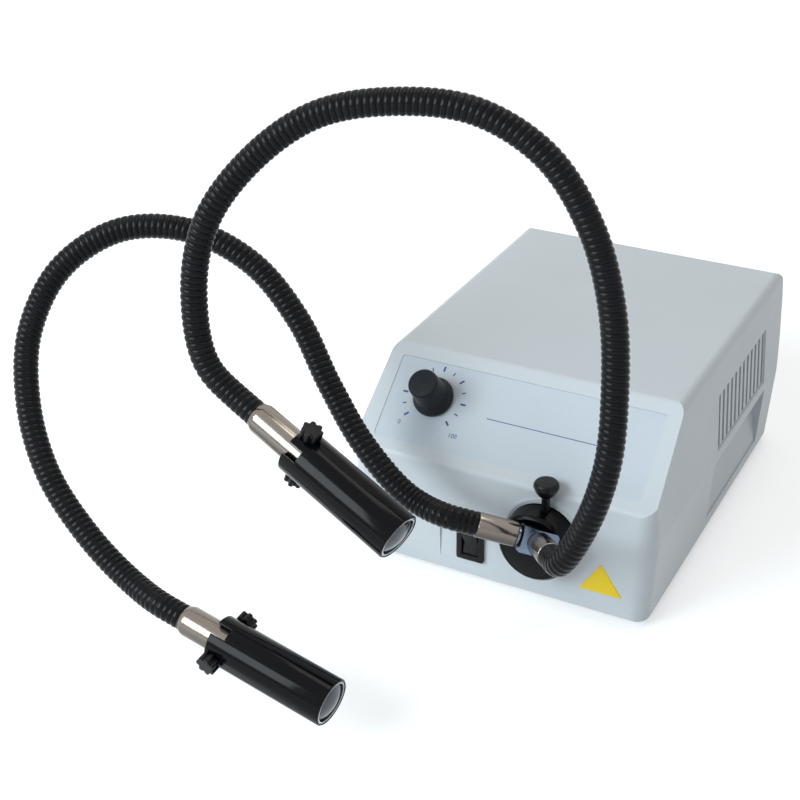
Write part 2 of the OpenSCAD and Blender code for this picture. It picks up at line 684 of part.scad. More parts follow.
module power_supply() color("darkgreen") in_case() translate([supply_x, supply_y, board_z]) {
    translate([-supply_w / 2, -supply_d / 2, 0]) cube([supply_w, supply_d, board_t]);
    translate([-12, -8, board_t]) cube([24, 28, 20]);
    translate([-supply_w / 2 + 4, 12 - supply_d / 2, board_t]) cube([3, supply_d - 36, 24]);
    for (y = [10, 22]) translate([14, y - supply_d / 2, board_t]) cylinder(r = 5, h = 22, $fn = ARC);
    translate([-6, supply_d / 2 - 16, board_t]) cube([18, 12, 14]);
}

module circuit_board() color("seagreen") in_case() translate([driver_x, driver_y, board_z]) {
    translate([-driver_w / 2, -driver_d / 2, 0]) cube([driver_w, driver_d, board_t]);
    translate([-14, -12, board_t]) cube([12, 12, 8]);
    translate([4, -14, board_t]) cube([10, 16, 3]);
    for (x = [-10, 4]) translate([x, 18, board_t]) cylinder(r = 4, h = 12, $fn = ARC);
}

module at_inlet() in_case() translate([inlet_x, case_d - inlet_flange_t, inlet_z]) children();

module power_inlet() color("#1c1c1c") at_inlet() {
    difference() {
        union() {
            translate([-inlet_w / 2 - inlet_rim, 0, -inlet_h / 2 - inlet_rim])
                cube([inlet_w + 2 * inlet_rim, inlet_flange_t, inlet_h + 2 * inlet_rim]);
            translate([-inlet_w / 2, -inlet_deep, -inlet_h / 2]) cube([inlet_w, inlet_deep, inlet_h]);
        }
        translate([-socket_w / 2, inlet_flange_t - socket_deep, socket_up - socket_h / 2])
            cube([socket_w, 2 * socket_deep, socket_h]);
        translate([-drawer_w / 2 - CLEAR, inlet_flange_t - drawer_deep - CLEAR, -drawer_down - drawer_h / 2 - CLEAR])
            cube([drawer_w + 2 * CLEAR, 2 * drawer_deep, drawer_h + 2 * CLEAR]);
    }
    for (x = [-7, 0, 7]) translate([x - 1, inlet_flange_t - socket_deep - 1, socket_up - 2 + (x == 0 ? 2.5 : -1.5)])
        cube([2, socket_deep - 5, 4]);
}

module fuse_drawer() color("#2b2b2b") at_inlet() difference() {
    union() {
        translate([-drawer_w / 2, inlet_flange_t - drawer_deep, -drawer_down - drawer_h / 2])
            cube([drawer_w, drawer_deep + CLEAR, drawer_h]);
        translate([-drawer_w / 2 - 1, inlet_flange_t + CLEAR, -drawer_down - drawer_h / 2 - 1])
            cube([drawer_w + 2, drawer_lip, drawer_h + 2]);
    }
    translate([2 - drawer_w / 2, inlet_flange_t - drawer_deep + 2, -drawer_down - 1.5])
        cube([drawer_w - 4, drawer_deep - 5, drawer_h]);
}

// ---- Light guide

module guide_plug() color("#1a1a1a") on_port() {
    face = nose_out + CLEAR;
    translate([0, 0, -nose_stop + CLEAR]) cylinder(r = plug_r, h = nose_stop - CLEAR + face, $fn = 2 * ARC);
    translate([0, 0, face]) cylinder(r = guide_flange_r, h = guide_flange_t, $fn = 2 * ARC);
}

module split_block() color("lightslategray") in_guide() {
    face = nose_out + CLEAR + guide_flange_t;
    difference() {
        translate(split_at) rotate([0, 0, -block_turn]) rotate([-block_tilt, 0, 0]) rotate([0, 0, 45])
            cube([2 * block_face, 2 * block_face, block_h], center = true);
        translate([-case_w / 2, -face, -case_w / 2]) cube(case_w);
    }
    for (arm = [0, 1]) translate(split_at + (block_face - 0.5) * sleeve_dir(arm)) along(sleeve_dir(arm))
        cylinder(r = neck_r, h = neck_len + 0.5, $fn = ARC);
}

module base_sleeve(arm) color("silver") in_guide() translate(sleeve_start(arm)) along(sleeve_dir(arm))
    rotate_extrude($fn = ARC) polygon([
        [bundle_r + CLEAR, 0], [sleeve_r - sleeve_edge, 0], [sleeve_r, sleeve_edge],
        [sleeve_r, sleeve_len - sleeve_edge], [sleeve_r - sleeve_edge, sleeve_len], [bundle_r + CLEAR, sleeve_len]]);

module hose(arm, i) color("#141414") in_guide() {
    a = from_run(arm, i);
    b = to_run(arm, i);
    pitch = (b - a) / ribs;
    swept_pipe(arm,
        [for (k = [0 : 2 * ribs]) [a + k * pitch / 2, k % 2 == 0 ? hose_r - rib_deep : hose_r]],
        [for (k = [0 : BORE_STEPS]) [a + (b - a) * k / BORE_STEPS, hose_bore_r]],
        HOSE_SIDES);
}

// The fibre bundle of length i ends in a ball at the next pivot; the last one runs to the tip's face
module bundle(arm, i) color("#c8b27a") in_guide() {
    a = i == 0 ? 0 : pivot(arm, i) + ball_clear;
    b = i == LENGTHS - 1 ? total_run[arm] : pivot(arm, i + 1) - ball_r;
    ball = i == LENGTHS - 1 ? [] : [for (k = [1 : 5])
        let (q = ball_r * (k / 3 - 1)) [pivot(arm, i + 1) + q, sqrt(ball_r * ball_r - q * q)]];
    swept_rod(arm, concat([for (k = [0 : CORE_STEPS - 1]) [a + (b - a) * k / CORE_STEPS, bundle_r]],
        [[b - (ball == [] ? 0 : 1), bundle_r]], ball), CORE_SIDES);
}

module tip_sleeve(arm) color("silver") at_tip(arm) rotate_extrude($fn = ARC) polygon([
    [bundle_r + CLEAR, 0], [sleeve_r, 0], [tip_r, tip_taper], [tip_r, tip_len - sleeve_edge],
    [tip_r - sleeve_edge, tip_len], [bundle_r + CLEAR, tip_len]]);

// ---- Focusing lens units

barrel_wall = barrel_r - lens_r - 0.2;
chamber_r = lens_r - 0.8;
grip_len = 16;
lens_edge_t = 4.3;
dome_r = 18;
dome_rise = dome_r - sqrt(dome_r * dome_r - lens_r * lens_r);
dome_lap = 0.8;
ring_t = 1.4;
seat_deep = lens_edge_t + dome_lap + ring_t;
barrel_edge = 0.6;
barrel_slot_w = 6.4;
barrel_slot_len = 8;
barrel_screw_z = 5;
barrel_screw_r = 1.95;
star_r = 3.9;
star_lobe_r = 1.25;
star_lobes = 7;
star_t = 4.6;
star_gap = 0.6;

module at_barrel(arm) at_tip(arm) translate([0, 0, tip_show - arm * set_back]) children();
module at_barrel_screw(arm, n) at_barrel(arm) rotate(SCREW_ROLL[arm] + 180 * n)
    translate([0, 0, barrel_screw_z]) rotate([0, 90, 0]) children();

module lens_barrel(arm) color("#121212") difference() {
    at_barrel(arm) rotate_extrude($fn = 2 * ARC) polygon([
        [tip_r + FIT, 0], [barrel_r - barrel_edge, 0], [barrel_r, barrel_edge], [barrel_r, barrel_len - barrel_edge],
        [barrel_r - barrel_edge, barrel_len], [barrel_r - barrel_wall, barrel_len],
        [barrel_r - barrel_wall, barrel_len - seat_deep], [chamber_r, barrel_len - seat_deep], [chamber_r, grip_len],
        [tip_r + FIT, grip_len]]);
    at_barrel(arm) rotate(SLOT_ROLL[arm]) translate([0, -barrel_slot_w / 2, -OVER])
        cube([2 * barrel_r, barrel_slot_w, barrel_slot_len + OVER]);
    for (n = [0, 1]) at_barrel_screw(arm, n) cylinder(r = barrel_screw_r + FIT, h = 2 * barrel_r, $fn = ARC);
}

module barrel_screw(arm, n) color("#181818") at_barrel_screw(arm, n) {
    translate([0, 0, tip_r + 0.15]) cylinder(r = barrel_screw_r, h = barrel_r - tip_r + star_gap, $fn = ARC);
    translate([0, 0, barrel_r + star_gap]) {
        cylinder(r = star_r, h = star_t, $fn = ARC);
        for (a = [1 : star_lobes]) rotate(360 * a / star_lobes) translate([star_r, 0, 0])
            cylinder(r = star_lobe_r, h = star_t, $fn = 24);
    }
}

module focusing_lens(arm) color("lightcyan") at_barrel(arm) translate([0, 0, barrel_len - seat_deep]) intersection() {
    cylinder(r = lens_r, h = lens_edge_t + dome_rise, $fn = 2 * ARC);
    translate([0, 0, lens_edge_t + dome_rise - dome_r]) sphere(r = dome_r, $fn = 2 * ARC);
}

module lens_ring(arm) color("silver") at_barrel(arm) translate([0, 0, barrel_len - ring_t]) difference() {
    cylinder(r = barrel_r - barrel_wall - FIT, h = ring_t - 0.2, $fn = 2 * ARC);
    translate([0, 0, -OVER]) cylinder(r = lens_r - 0.9, h = ring_t + 2 * OVER, $fn = 2 * ARC);
}

upper_cover();
lower_case();
rubber_feet();
case_screws();
control_label();
intensity_knob();
knob_shaft();
control_pot();
rocker_frame();
rocker_button();
nosepiece();
port_adapter();
clamp_pad();
clamp_screw();
condenser_lens();
led_board();
led_heat_sink();
fan_frame();
fan_rotor();
power_supply();
circuit_board();
power_inlet();
fuse_drawer();
guide_plug();
split_block();
for (arm = [0, 1]) {
    base_sleeve(arm);
    for (i = [0 : LENGTHS - 1]) {
        hose(arm, i);
        bundle(arm, i);
    }
    tip_sleeve(arm);
    lens_barrel(arm);
    for (n = [0, 1])
        barrel_screw(arm, n);
    focusing_lens(arm);
    lens_ring(arm);
}
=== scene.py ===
"""Looks for a bench fibre optic light source: a moulded lamp case with a dial, a rocker switch and a
clamped light port, and a twin gooseneck light guide that ends in two focusing lens barrels."""

import json
import math

import bmesh
import bpy
from bpy.props import FloatProperty, FloatVectorProperty, IntProperty, PointerProperty
from mathutils import Matrix, Vector

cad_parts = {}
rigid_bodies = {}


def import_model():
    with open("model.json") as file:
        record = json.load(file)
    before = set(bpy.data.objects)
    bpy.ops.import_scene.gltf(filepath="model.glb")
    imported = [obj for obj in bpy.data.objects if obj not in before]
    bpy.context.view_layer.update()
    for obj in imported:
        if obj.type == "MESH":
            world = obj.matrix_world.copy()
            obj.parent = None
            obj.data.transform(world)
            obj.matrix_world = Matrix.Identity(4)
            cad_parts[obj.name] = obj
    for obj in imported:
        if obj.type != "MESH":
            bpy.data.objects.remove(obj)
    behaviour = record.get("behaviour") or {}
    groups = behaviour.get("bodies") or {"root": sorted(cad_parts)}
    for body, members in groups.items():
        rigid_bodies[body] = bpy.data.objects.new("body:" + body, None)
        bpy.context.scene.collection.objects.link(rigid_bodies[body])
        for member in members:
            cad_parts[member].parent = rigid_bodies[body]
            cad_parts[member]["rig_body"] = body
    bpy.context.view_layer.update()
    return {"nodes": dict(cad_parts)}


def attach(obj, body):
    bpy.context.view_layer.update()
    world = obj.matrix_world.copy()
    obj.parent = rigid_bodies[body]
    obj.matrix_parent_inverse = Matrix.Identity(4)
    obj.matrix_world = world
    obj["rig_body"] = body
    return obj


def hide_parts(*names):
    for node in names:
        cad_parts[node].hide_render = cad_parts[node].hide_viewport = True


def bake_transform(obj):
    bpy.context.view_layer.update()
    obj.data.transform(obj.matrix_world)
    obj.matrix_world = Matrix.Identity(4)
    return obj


bl_info = {
    "name": "Fibre optic light source",
    "version": (1, 0, 0),
    "blender": (4, 5, 0),
    "location": "3D View > Sidebar > Light Source",
    "description": "Finishes and fine pieces of a bench light source with a twin gooseneck guide",
    "category": "Object",
}

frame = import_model()
NODES = frame["nodes"]
MM = 0.001
SIDES = ("right", "left")

# Case: the same measures as the solids, in millimetres
CASE_W, CASE_D = 170.0, 228.0
FOOT_H = 5.0
PANEL_LOW = 65.0
PANEL_RUN = 47.0
PANEL_RISE = 41.0
CREASE = 46.0
LEAN_LOW = 2.5
PORT = Vector((26.3, -CASE_D / 2, FOOT_H + 39.2))
KNOB_X, KNOB_S = -48.4, 34.8
LABEL_DROP = 0.3

# Light guide: the same route as the solids, from the port's axis at the front plane
SPLIT = Vector((2.6, -16.1, 8.4))
BLOCK_TILT, BLOCK_TURN = 27.5, 12.0
SLEEVE_AT, SLEEVE_LEN = 10.4, 21.0
HOSE_R = 6.35
TIP_LEN = 43.0
LENGTHS = 5
TIP_HEADING = (-11.0, -4.0)
TIP_DIP = (22.0, 10.5)
HOSE_END = (Vector((-104, -96, 93)), Vector((-123, -139, 0)))
BENDS = (
    ((41, -54, 48), (49, -50, 81), (47, -40, 115), (41, -33, 150), (28, -29, 184), (6, -29, 213),
     (-24, -33, 229), (-60, -41, 231), (-94, -51, 223), (-121, -63, 202), (-139, -76, 173),
     (-142, -85, 140), (-131, -92, 108)),
    ((-55, -34, 25), (-84, -31, 46), (-109, -22, 71), (-130, -16, 101), (-156, -15, 126),
     (-187, -23, 141), (-219, -38, 141), (-242, -59, 124), (-248, -81, 97), (-239, -99, 67),
     (-219, -114, 41), (-191, -124, 20), (-158, -132, 5)),
)
TIP_SHOW, SET_BACK, BARREL_LEN = 25.0, 5.0, 64.0
LENS_R, LENS_EDGE, DOME_R, LENS_SEAT = 10.5, 4.3, 18.0, 6.5
LENS_CHAMFER, LENS_STEPS = 0.3, 16

# Print of the panel: x and s up the slope from the panel's lower edge, in millimetres
DIAL_FIRST, DIAL_SWEEP = 225.0, 270.0
MARKS = ((2.9, 1.0, 0.5), (2.0, 0.65, 0.0))  # length, width and shift outwards of a long and a short mark
PRINT_T = 0.06
FIGURE_H = 3.4
FIGURES = (("0", -62.6, 17.6), ("100", -31.3, 16.9))
RULE_SIZE, RULE_X, RULE_S = (64.0, 0.4, PRINT_T), 15.5, 30.6

# Plain plate and switch marks: x and height over the underside, on the lower front wall
PLATE_R, PLATE_T, PLATE_SHAPE = 13.0, 0.35, (1.03, 0.93, 1)
PLATE_X, PLATE_Z = 58.0, 18.9
SWITCH_MARK_X, SWITCH_MARK_H, SWITCH_MARK_T, SWITCH_MARK_OUT = -26.9, 3.2, 0.3, -0.95
SWITCH_MARKS = (("I", 26.6), ("O", 17.2))

# Camera, solved from the photograph's perspective: its place in millimetres, then its right and back
CAMERA_AT = Vector((265.42, -601.54 - CASE_D / 2, 476.18 + FOOT_H))
CAMERA_RIGHT = Vector((0.8856, 0.4644, -0.0109))
CAMERA_BACK = Vector((0.4108, -0.7719, 0.4853))
CAMERA_LENS, CAMERA_SENSOR = 68.70, 36.0
FLOOR_R, FLOOR_DROP = 6.0, 0.0002
# The floor's own light towards the camera, from its middle to its far part
FLOOR_LIFT = {"From Min": 0.5, "From Max": 1.8, "To Min": 0.46, "To Max": 0.74}
LAMP_TARGET = (-0.03, -0.08, 0.08)
# Each lamp's place and size in metres, and its colour
KEY_LAMP = ((-0.95, -1.45, 0.95), (1.3, 1.0), (0.84, 0.95, 1.0))
TOP_LAMP = ((0.1, 0.3, 1.7), (0.8, 0.8), (1.0, 0.95, 0.88))
SKY_COLOUR = (0.88, 0.96, 1.0, 1)

DOUBLES = 2e-6  # metres: vertices of a CAD node closer than this are one


# ---- Values that a user would change


def colour_prop(name, description, default):
    return FloatVectorProperty(
        name=name, description=description, subtype="COLOR", size=3, min=0, max=1, default=default
    )


class LIGHTSOURCE_PG_case(bpy.types.PropertyGroup):
    """Colours and print of the lamp case"""

    shell: colour_prop("Shell", "Moulded plastic of the case", (0.595, 0.622, 0.65))
    label: colour_prop("Label", "Film of the panel label", (0.56, 0.607, 0.655))
    print_ink: colour_prop("Ink", "Ink of the dial and the rule", (0.04, 0.055, 0.30))
    plate: colour_prop("Plate", "Enamel of the plain plate beside the port", (0.90, 0.64, 0.015))
    dial_r: FloatProperty(
        name="Dial radius", description="Radius of the ring of dial marks", default=16.3 * MM,
        min=14 * MM, max=18 * MM, unit="LENGTH",
    )
    dial_marks: IntProperty(
        name="Dial marks", description="Marks on the dial, from lowest to brightest", default=13,
        min=5, max=25,
    )


class LIGHTSOURCE_PG_hose(bpy.types.PropertyGroup):
    """Sizes of the goosenecks"""

    pitch: FloatProperty(
        name="Turn pitch", description="Distance from one turn of the hose to the next", default=3.1 * MM,
        min=2 * MM, max=6 * MM, unit="LENGTH",
    )
    groove: FloatProperty(
        name="Groove", description="Depth of the groove between two turns", default=0.62 * MM,
        min=0.2 * MM, max=1 * MM, unit="LENGTH",
    )
    sides: IntProperty(name="Sides", description="Faces round the hose", default=20, min=12, max=48)
    colour: colour_prop("Coating", "Black coating of the hose", (0.004, 0.004, 0.005))


class LIGHTSOURCE_PG_stage(bpy.types.PropertyGroup):
    """Light and camera"""

    key: FloatProperty(name="Key", description="Power of the main soft lamp", default=34, min=0, unit="POWER")
    top: FloatProperty(name="Top", description="Power of the overhead lamp", default=6, min=0, unit="POWER")
    sky: FloatProperty(name="Sky", description="Strength of the even light all round", default=0.37, min=0)


SETTINGS = {"lightsource_case": LIGHTSOURCE_PG_case, "lightsource_hose": LIGHTSOURCE_PG_hose,
            "lightsource_stage": LIGHTSOURCE_PG_stage}


# ---- Shader groups


def new_group(name, inputs, outputs):
    """A shader node group with named sockets: inputs hold (name, kind, default), outputs (name, kind)."""
    group = bpy.data.node_groups.new(name, "ShaderNodeTree")
    for title, kind, value in inputs:
        socket = group.interface.new_socket(title, in_out="INPUT", socket_type=kind)
        if value is not None:
            socket.default_value = value
    for title, kind in outputs:
        group.interface.new_socket(title, in_out="OUTPUT", socket_type=kind)
    start = group.nodes.new("NodeGroupInput")
    end = group.nodes.new("NodeGroupOutput")
    return group, start, end


def wire(tree, source, target):
    tree.links.new(source, target)


def feed(tree, socket, value):
    """Links another socket to this one, or sets its own value."""
    if isinstance(value, bpy.types.NodeSocket):
        wire(tree, value, socket)
    else:
        socket.default_value = value


def make_node(tree, kind, **values):
    """A node with its inputs fed by name, and its other settings set."""
    node = tree.nodes.new(kind)
    for key, value in values.items():
        if key in node.inputs:
            feed(tree, node.inputs[key], value)
        else:
            setattr(node, key, value)
    return node


def math_node(tree, operation, a, b, clamp=False):
    node = make_node(tree, "ShaderNodeMath", operation=operation, use_clamp=clamp)
    feed(tree, node.inputs[0], a)
    feed(tree, node.inputs[1], b)
    return node.outputs[0]


def times(tree, a, b, clamp=False):
    return math_node(tree, "MULTIPLY", a, b, clamp)


def mix_colour(tree, factor, a, b, blend="MIX"):
    """Colour a blended towards colour b: the Mix node's sockets 0, 6 and 7 are its factor, A and B."""
    node = make_node(tree, "ShaderNodeMix", data_type="RGBA", blend_type=blend)
    for index, value in ((0, factor), (6, a), (7, b)):
        feed(tree, node.inputs[index], value)
    return node.outputs[2]


def object_place(tree):
    return tree.nodes.new("ShaderNodeTexCoord").outputs["Object"]


def noise(tree, vector, scale, detail=3.0, roughness=0.55, distortion=0.0):
    node = make_node(tree, "ShaderNodeTexNoise", Vector=vector, Scale=scale, Detail=detail,
                     Roughness=roughness, Distortion=distortion)
    return node.outputs["Fac"]


def ramp(tree, value, low, high, out_low=0.0, out_high=1.0):
    """A value's range low to high mapped to another one, and held at its ends."""
    node = make_node(tree, "ShaderNodeMapRange", Value=value)
    for key, number in (("From Min", low), ("From Max", high), ("To Min", out_low), ("To Max", out_high)):
        feed(tree, node.inputs[key], number)
    return node.outputs["Result"]


def facing_up(tree):
    """How far a face looks up: the height of its normal."""
    split = tree.nodes.new("ShaderNodeSeparateXYZ")
    wire(tree, tree.nodes.new("ShaderNodeNewGeometry").outputs["Normal"], split.inputs[0])
    return split.outputs["Z"]


def grain_group():
    """Fine spark-eroded grain of moulded plastic, as a normal."""
    group, start, end = new_group(
        "Moulded grain",
        [("Scale", "NodeSocketFloat", 1800.0), ("Depth", "NodeSocketFloat", 0.25)],
        [("Normal", "NodeSocketVector")],
    )
    place = object_place(group)
    grain = make_node(group, "ShaderNodeTexVoronoi", Vector=place, Scale=start.outputs["Scale"])
    fine = noise(group, place, 5200.0, 2.0)
    height = math_node(group, "ADD", grain.outputs["Distance"], times(group, fine, 0.5))
    bump = make_node(group, "ShaderNodeBump", Distance=0.0001, Strength=start.outputs["Depth"], Height=height)
    wire(group, bump.outputs["Normal"], end.inputs["Normal"])
    return group


def handling_group():
    """Large soft patches of handling that shift a colour and a roughness a little."""
    group, start, end = new_group(
        "Handling marks",
        [("Colour", "NodeSocketColor", (0.5, 0.5, 0.5, 1)), ("Roughness", "NodeSocketFloat", 0.4),
         ("Amount", "NodeSocketFloat", 0.3), ("Scale", "NodeSocketFloat", 18.0)],
        [("Colour", "NodeSocketColor"), ("Roughness", "NodeSocketFloat")],
    )
    place = object_place(group)
    patch = ramp(group, noise(group, place, start.outputs["Scale"], 4.0, 0.5, 0.6), 0.35, 0.7)
    small = ramp(group, noise(group, place, 260.0, 4.0), 0.45, 0.75)
    both = math_node(group, "ADD", patch, times(group, small, 0.5))
    both = times(group, both, start.outputs["Amount"])
    shade = mix_colour(group, both, start.outputs["Colour"], (0.35, 0.33, 0.30, 1), "SOFT_LIGHT")
    wire(group, shade, end.inputs["Colour"])
    rough = math_node(group, "ADD", start.outputs["Roughness"], times(group, both, 0.22), True)
    wire(group, rough, end.inputs["Roughness"])
    return group


def settled_dust_group():
    """Pale dust on faces that look up, thicker in patches, over a given colour."""
    group, start, end = new_group(
        "Settled dust",
        [("Colour", "NodeSocketColor", (0.02, 0.02, 0.02, 1)), ("Amount", "NodeSocketFloat", 0.15)],
        [("Colour", "NodeSocketColor")],
    )
    place = object_place(group)
    up = ramp(group, facing_up(group), 0.3, 1.0)
    patch = ramp(group, noise(group, place, 130.0, 5.0, 0.65), 0.42, 0.72)
    mask = times(group, times(group, up, patch), start.outputs["Amount"], True)
    dusty = mix_colour(group, mask, start.outputs["Colour"], (0.42, 0.40, 0.37, 1))
    wire(group, dusty, end.inputs["Colour"])
    return group


def fine_scratch_group():
    """Hair-fine scratches and turning lines, as a roughness shift and a normal."""
    group, start, end = new_group(
        "Fine scratches",
        [("Stretch", "NodeSocketVector", (1.0, 1.0, 1.0)), ("Scale", "NodeSocketFloat", 900.0),
         ("Depth", "NodeSocketFloat", 0.1), ("Roughness", "NodeSocketFloat", 0.25)],
        [("Roughness", "NodeSocketFloat"), ("Normal", "NodeSocketVector")],
    )
    place = object_place(group)
    stretch = make_node(group, "ShaderNodeVectorMath", operation="MULTIPLY")
    wire(group, place, stretch.inputs[0])
    wire(group, start.outputs["Stretch"], stretch.inputs[1])
    line = noise(group, stretch.outputs[0], start.outputs["Scale"], 5.0, 0.7)
    shift = times(group, math_node(group, "SUBTRACT", ramp(group, line, 0.35, 0.7), 0.5), 0.16)
    rough = math_node(group, "ADD", start.outputs["Roughness"], shift, True)
    wire(group, rough, end.inputs["Roughness"])
    bump = make_node(group, "ShaderNodeBump", Distance=0.00005, Strength=start.outputs["Depth"], Height=line)
    wire(group, bump.outputs["Normal"], end.inputs["Normal"])
    return group


GROUPS = {}


def shared(name):
    """Each group is built once and placed in every finish that uses it."""
    makers = {"grain": grain_group, "handling": handling_group, "dust": settled_dust_group,
              "scratches": fine_scratch_group}
    if name not in GROUPS:
        GROUPS[name] = makers[name]()
    return GROUPS[name]


# ---- Finishes

FINISHES = {}


def cleared_tree(owner):
    """The emptied node tree of a material or a world."""
    owner.use_nodes = True
    owner.node_tree.nodes.clear()
    return owner.node_tree


def blank_finish(name, metallic=0.0, transmission=0.0, ior=1.45, specular=0.5):
    """A new finish: its node tree and its Principled shader."""
    FINISHES[name] = bpy.data.materials.new(name)
    tree = cleared_tree(FINISHES[name])
    out = tree.nodes.new("ShaderNodeOutputMaterial")
    body = tree.nodes.new("ShaderNodeBsdfPrincipled")
    body.inputs["Metallic"].default_value = metallic
    body.inputs["Specular IOR Level"].default_value = specular
    body.inputs["Transmission Weight"].default_value = transmission
    body.inputs["IOR"].default_value = ior
    wire(tree, body.outputs[0], out.inputs[0])
    return tree, body


def place_group(tree, name, **values):
    """A node of a shared group, its inputs fed by name."""
    node = make_node(tree, "ShaderNodeGroup", node_tree=shared(name))
    for key, value in values.items():
        feed(tree, node.inputs[key], value)
    return node


def rgba(colour):
    return (colour[0], colour[1], colour[2], 1.0)


def moulded_finish(name, colour, roughness, grain, handling, dust=0.0, scale=1800.0, specular=0.5):
    """Moulded plastic: fine grain, faint handling, and dust where it faces up."""
    tree, body = blank_finish(name, specular=specular)
    marks = place_group(tree, "handling", Colour=rgba(colour), Roughness=roughness, Amount=handling)
    tint = marks.outputs["Colour"]
    if dust:
        tint = place_group(tree, "dust", Colour=tint, Amount=dust).outputs["Colour"]
    wire(tree, tint, body.inputs["Base Color"])
    wire(tree, marks.outputs["Roughness"], body.inputs["Roughness"])
    fine = place_group(tree, "grain", Scale=scale, Depth=grain)
    wire(tree, fine.outputs["Normal"], body.inputs["Normal"])


def metal_finish(name, colour, roughness, depth, stretch=(1.0, 1.0, 1.0), metallic=1.0, scale=900.0,
                 handling=0.2, specular=0.5, under=1.0):
    """Machined or plated metal: fine lines, smudges that dull it in patches, and painted shade: sides that
    look down are darkened to the share under, as if they reflected a dark ground."""
    tree, body = blank_finish(name, metallic=metallic, specular=specular)
    marks = place_group(tree, "handling", Colour=rgba(colour), Roughness=roughness, Amount=handling,
                        Scale=60.0)
    lines = place_group(tree, "scratches", Stretch=stretch, Scale=scale, Depth=depth,
                        Roughness=marks.outputs["Roughness"])
    tint = marks.outputs["Colour"]
    # Painted shade: faces that look down are darkened, a painted stand-in for the reflection of a dark ground
    if under < 1.0:
        shade = ramp(tree, facing_up(tree), -0.6, 0.8, under, 1.0)
        tint = mix_colour(tree, shade, (0.0, 0.0, 0.0, 1), tint)
    wire(tree, tint, body.inputs["Base Color"])
    wire(tree, lines.outputs["Roughness"], body.inputs["Roughness"])
    wire(tree, lines.outputs["Normal"], body.inputs["Normal"])


def film_finish(name, colour):
    """Printed polyester film: almost smooth, with very faint orange peel."""
    tree, body = blank_finish(name)
    marks = place_group(tree, "handling", Colour=rgba(colour), Roughness=0.34, Amount=0.22, Scale=30.0)
    fine = place_group(tree, "grain", Scale=900.0, Depth=0.08)
    wire(tree, marks.outputs["Colour"], body.inputs["Base Color"])
    wire(tree, marks.outputs["Roughness"], body.inputs["Roughness"])
    wire(tree, fine.outputs["Normal"], body.inputs["Normal"])


def hose_finish(name, colour):
    """Coated strip hose: glossy crests rubbed a little brighter, dull dusty grooves."""
    tree, body = blank_finish(name, specular=0.14)
    crest = make_node(tree, "ShaderNodeAttribute", attribute_name="crest").outputs["Fac"]
    place = object_place(tree)
    patch = ramp(tree, noise(tree, place, 90.0, 5.0, 0.6), 0.4, 0.75)
    low = math_node(tree, "SUBTRACT", 1.0, crest, True)
    grime = times(tree, low, ramp(tree, noise(tree, place, 400.0, 3.0), 0.3, 0.8, 0.25, 1.0))
    base = mix_colour(tree, times(tree, grime, 0.05), rgba(colour), (0.12, 0.11, 0.10, 1))
    rub = times(tree, times(tree, crest, patch), 0.05)
    base = mix_colour(tree, rub, base, (0.07, 0.07, 0.08, 1))
    layer = place_group(tree, "dust", Colour=base, Amount=0.02)
    wire(tree, layer.outputs["Colour"], body.inputs["Base Color"])
    rough = math_node(tree, "ADD", times(tree, low, 0.30), ramp(tree, patch, 0.0, 1.0, 0.16, 0.24))
    wire(tree, rough, body.inputs["Roughness"])
    fine = place_group(tree, "scratches", Scale=2600.0, Depth=0.10, Roughness=0.3)
    wire(tree, fine.outputs["Normal"], body.inputs["Normal"])


def glass_finish(name, colour, transmission):
    """Ground and polished lens glass with a few fingerprints."""
    tree, body = blank_finish(name, transmission=transmission, ior=1.52)
    place = object_place(tree)
    smear = ramp(tree, noise(tree, place, 220.0, 5.0, 0.7, 1.2), 0.5, 0.8, 0.02, 0.12)
    body.inputs["Base Color"].default_value = rgba(colour)
    wire(tree, smear, body.inputs["Roughness"])


def board_finish(name, colour):
    """Circuit board: solder resist over faint tracks, with tinned pads."""
    tree, body = blank_finish(name)
    place = object_place(tree)
    red, green, blue = colour
    tracks = make_node(
        tree, "ShaderNodeTexBrick", Vector=place, Scale=160.0, Color1=rgba(colour),
        Color2=(red * 0.8, green * 0.85, blue * 0.8, 1),
        Mortar=(red * 1.6 + 0.01, green * 1.5, blue * 1.5, 1),
    )
    for key, value in (("Mortar Size", 0.03), ("Brick Width", 1.4), ("Row Height", 0.35)):
        tracks.inputs[key].default_value = value
    dots = make_node(tree, "ShaderNodeTexVoronoi", Vector=place, Scale=260.0)
    pad = ramp(tree, dots.outputs["Distance"], 0.16, 0.12)
    face = mix_colour(tree, pad, tracks.outputs["Color"], (0.55, 0.54, 0.50, 1))
    wire(tree, face, body.inputs["Base Color"])
    wire(tree, ramp(tree, pad, 0.0, 1.0, 0.35, 0.22), body.inputs["Roughness"])
    wire(tree, times(tree, pad, 0.9), body.inputs["Metallic"])


def strand_finish(name):
    """Bundled glass strands: fine packed dots across the end, pale and satin along the length."""
    tree, body = blank_finish(name)
    cells = make_node(tree, "ShaderNodeTexVoronoi", Vector=object_place(tree), Scale=3500.0)
    tone = ramp(tree, cells.outputs["Distance"], 0.1, 0.6, 1.0, 0.45)
    strands = mix_colour(tree, tone, (0.42, 0.36, 0.20, 1), (0.92, 0.88, 0.74, 1))
    wire(tree, strands, body.inputs["Base Color"])
    wire(tree, ramp(tree, tone, 0.0, 1.0, 0.5, 0.25), body.inputs["Roughness"])


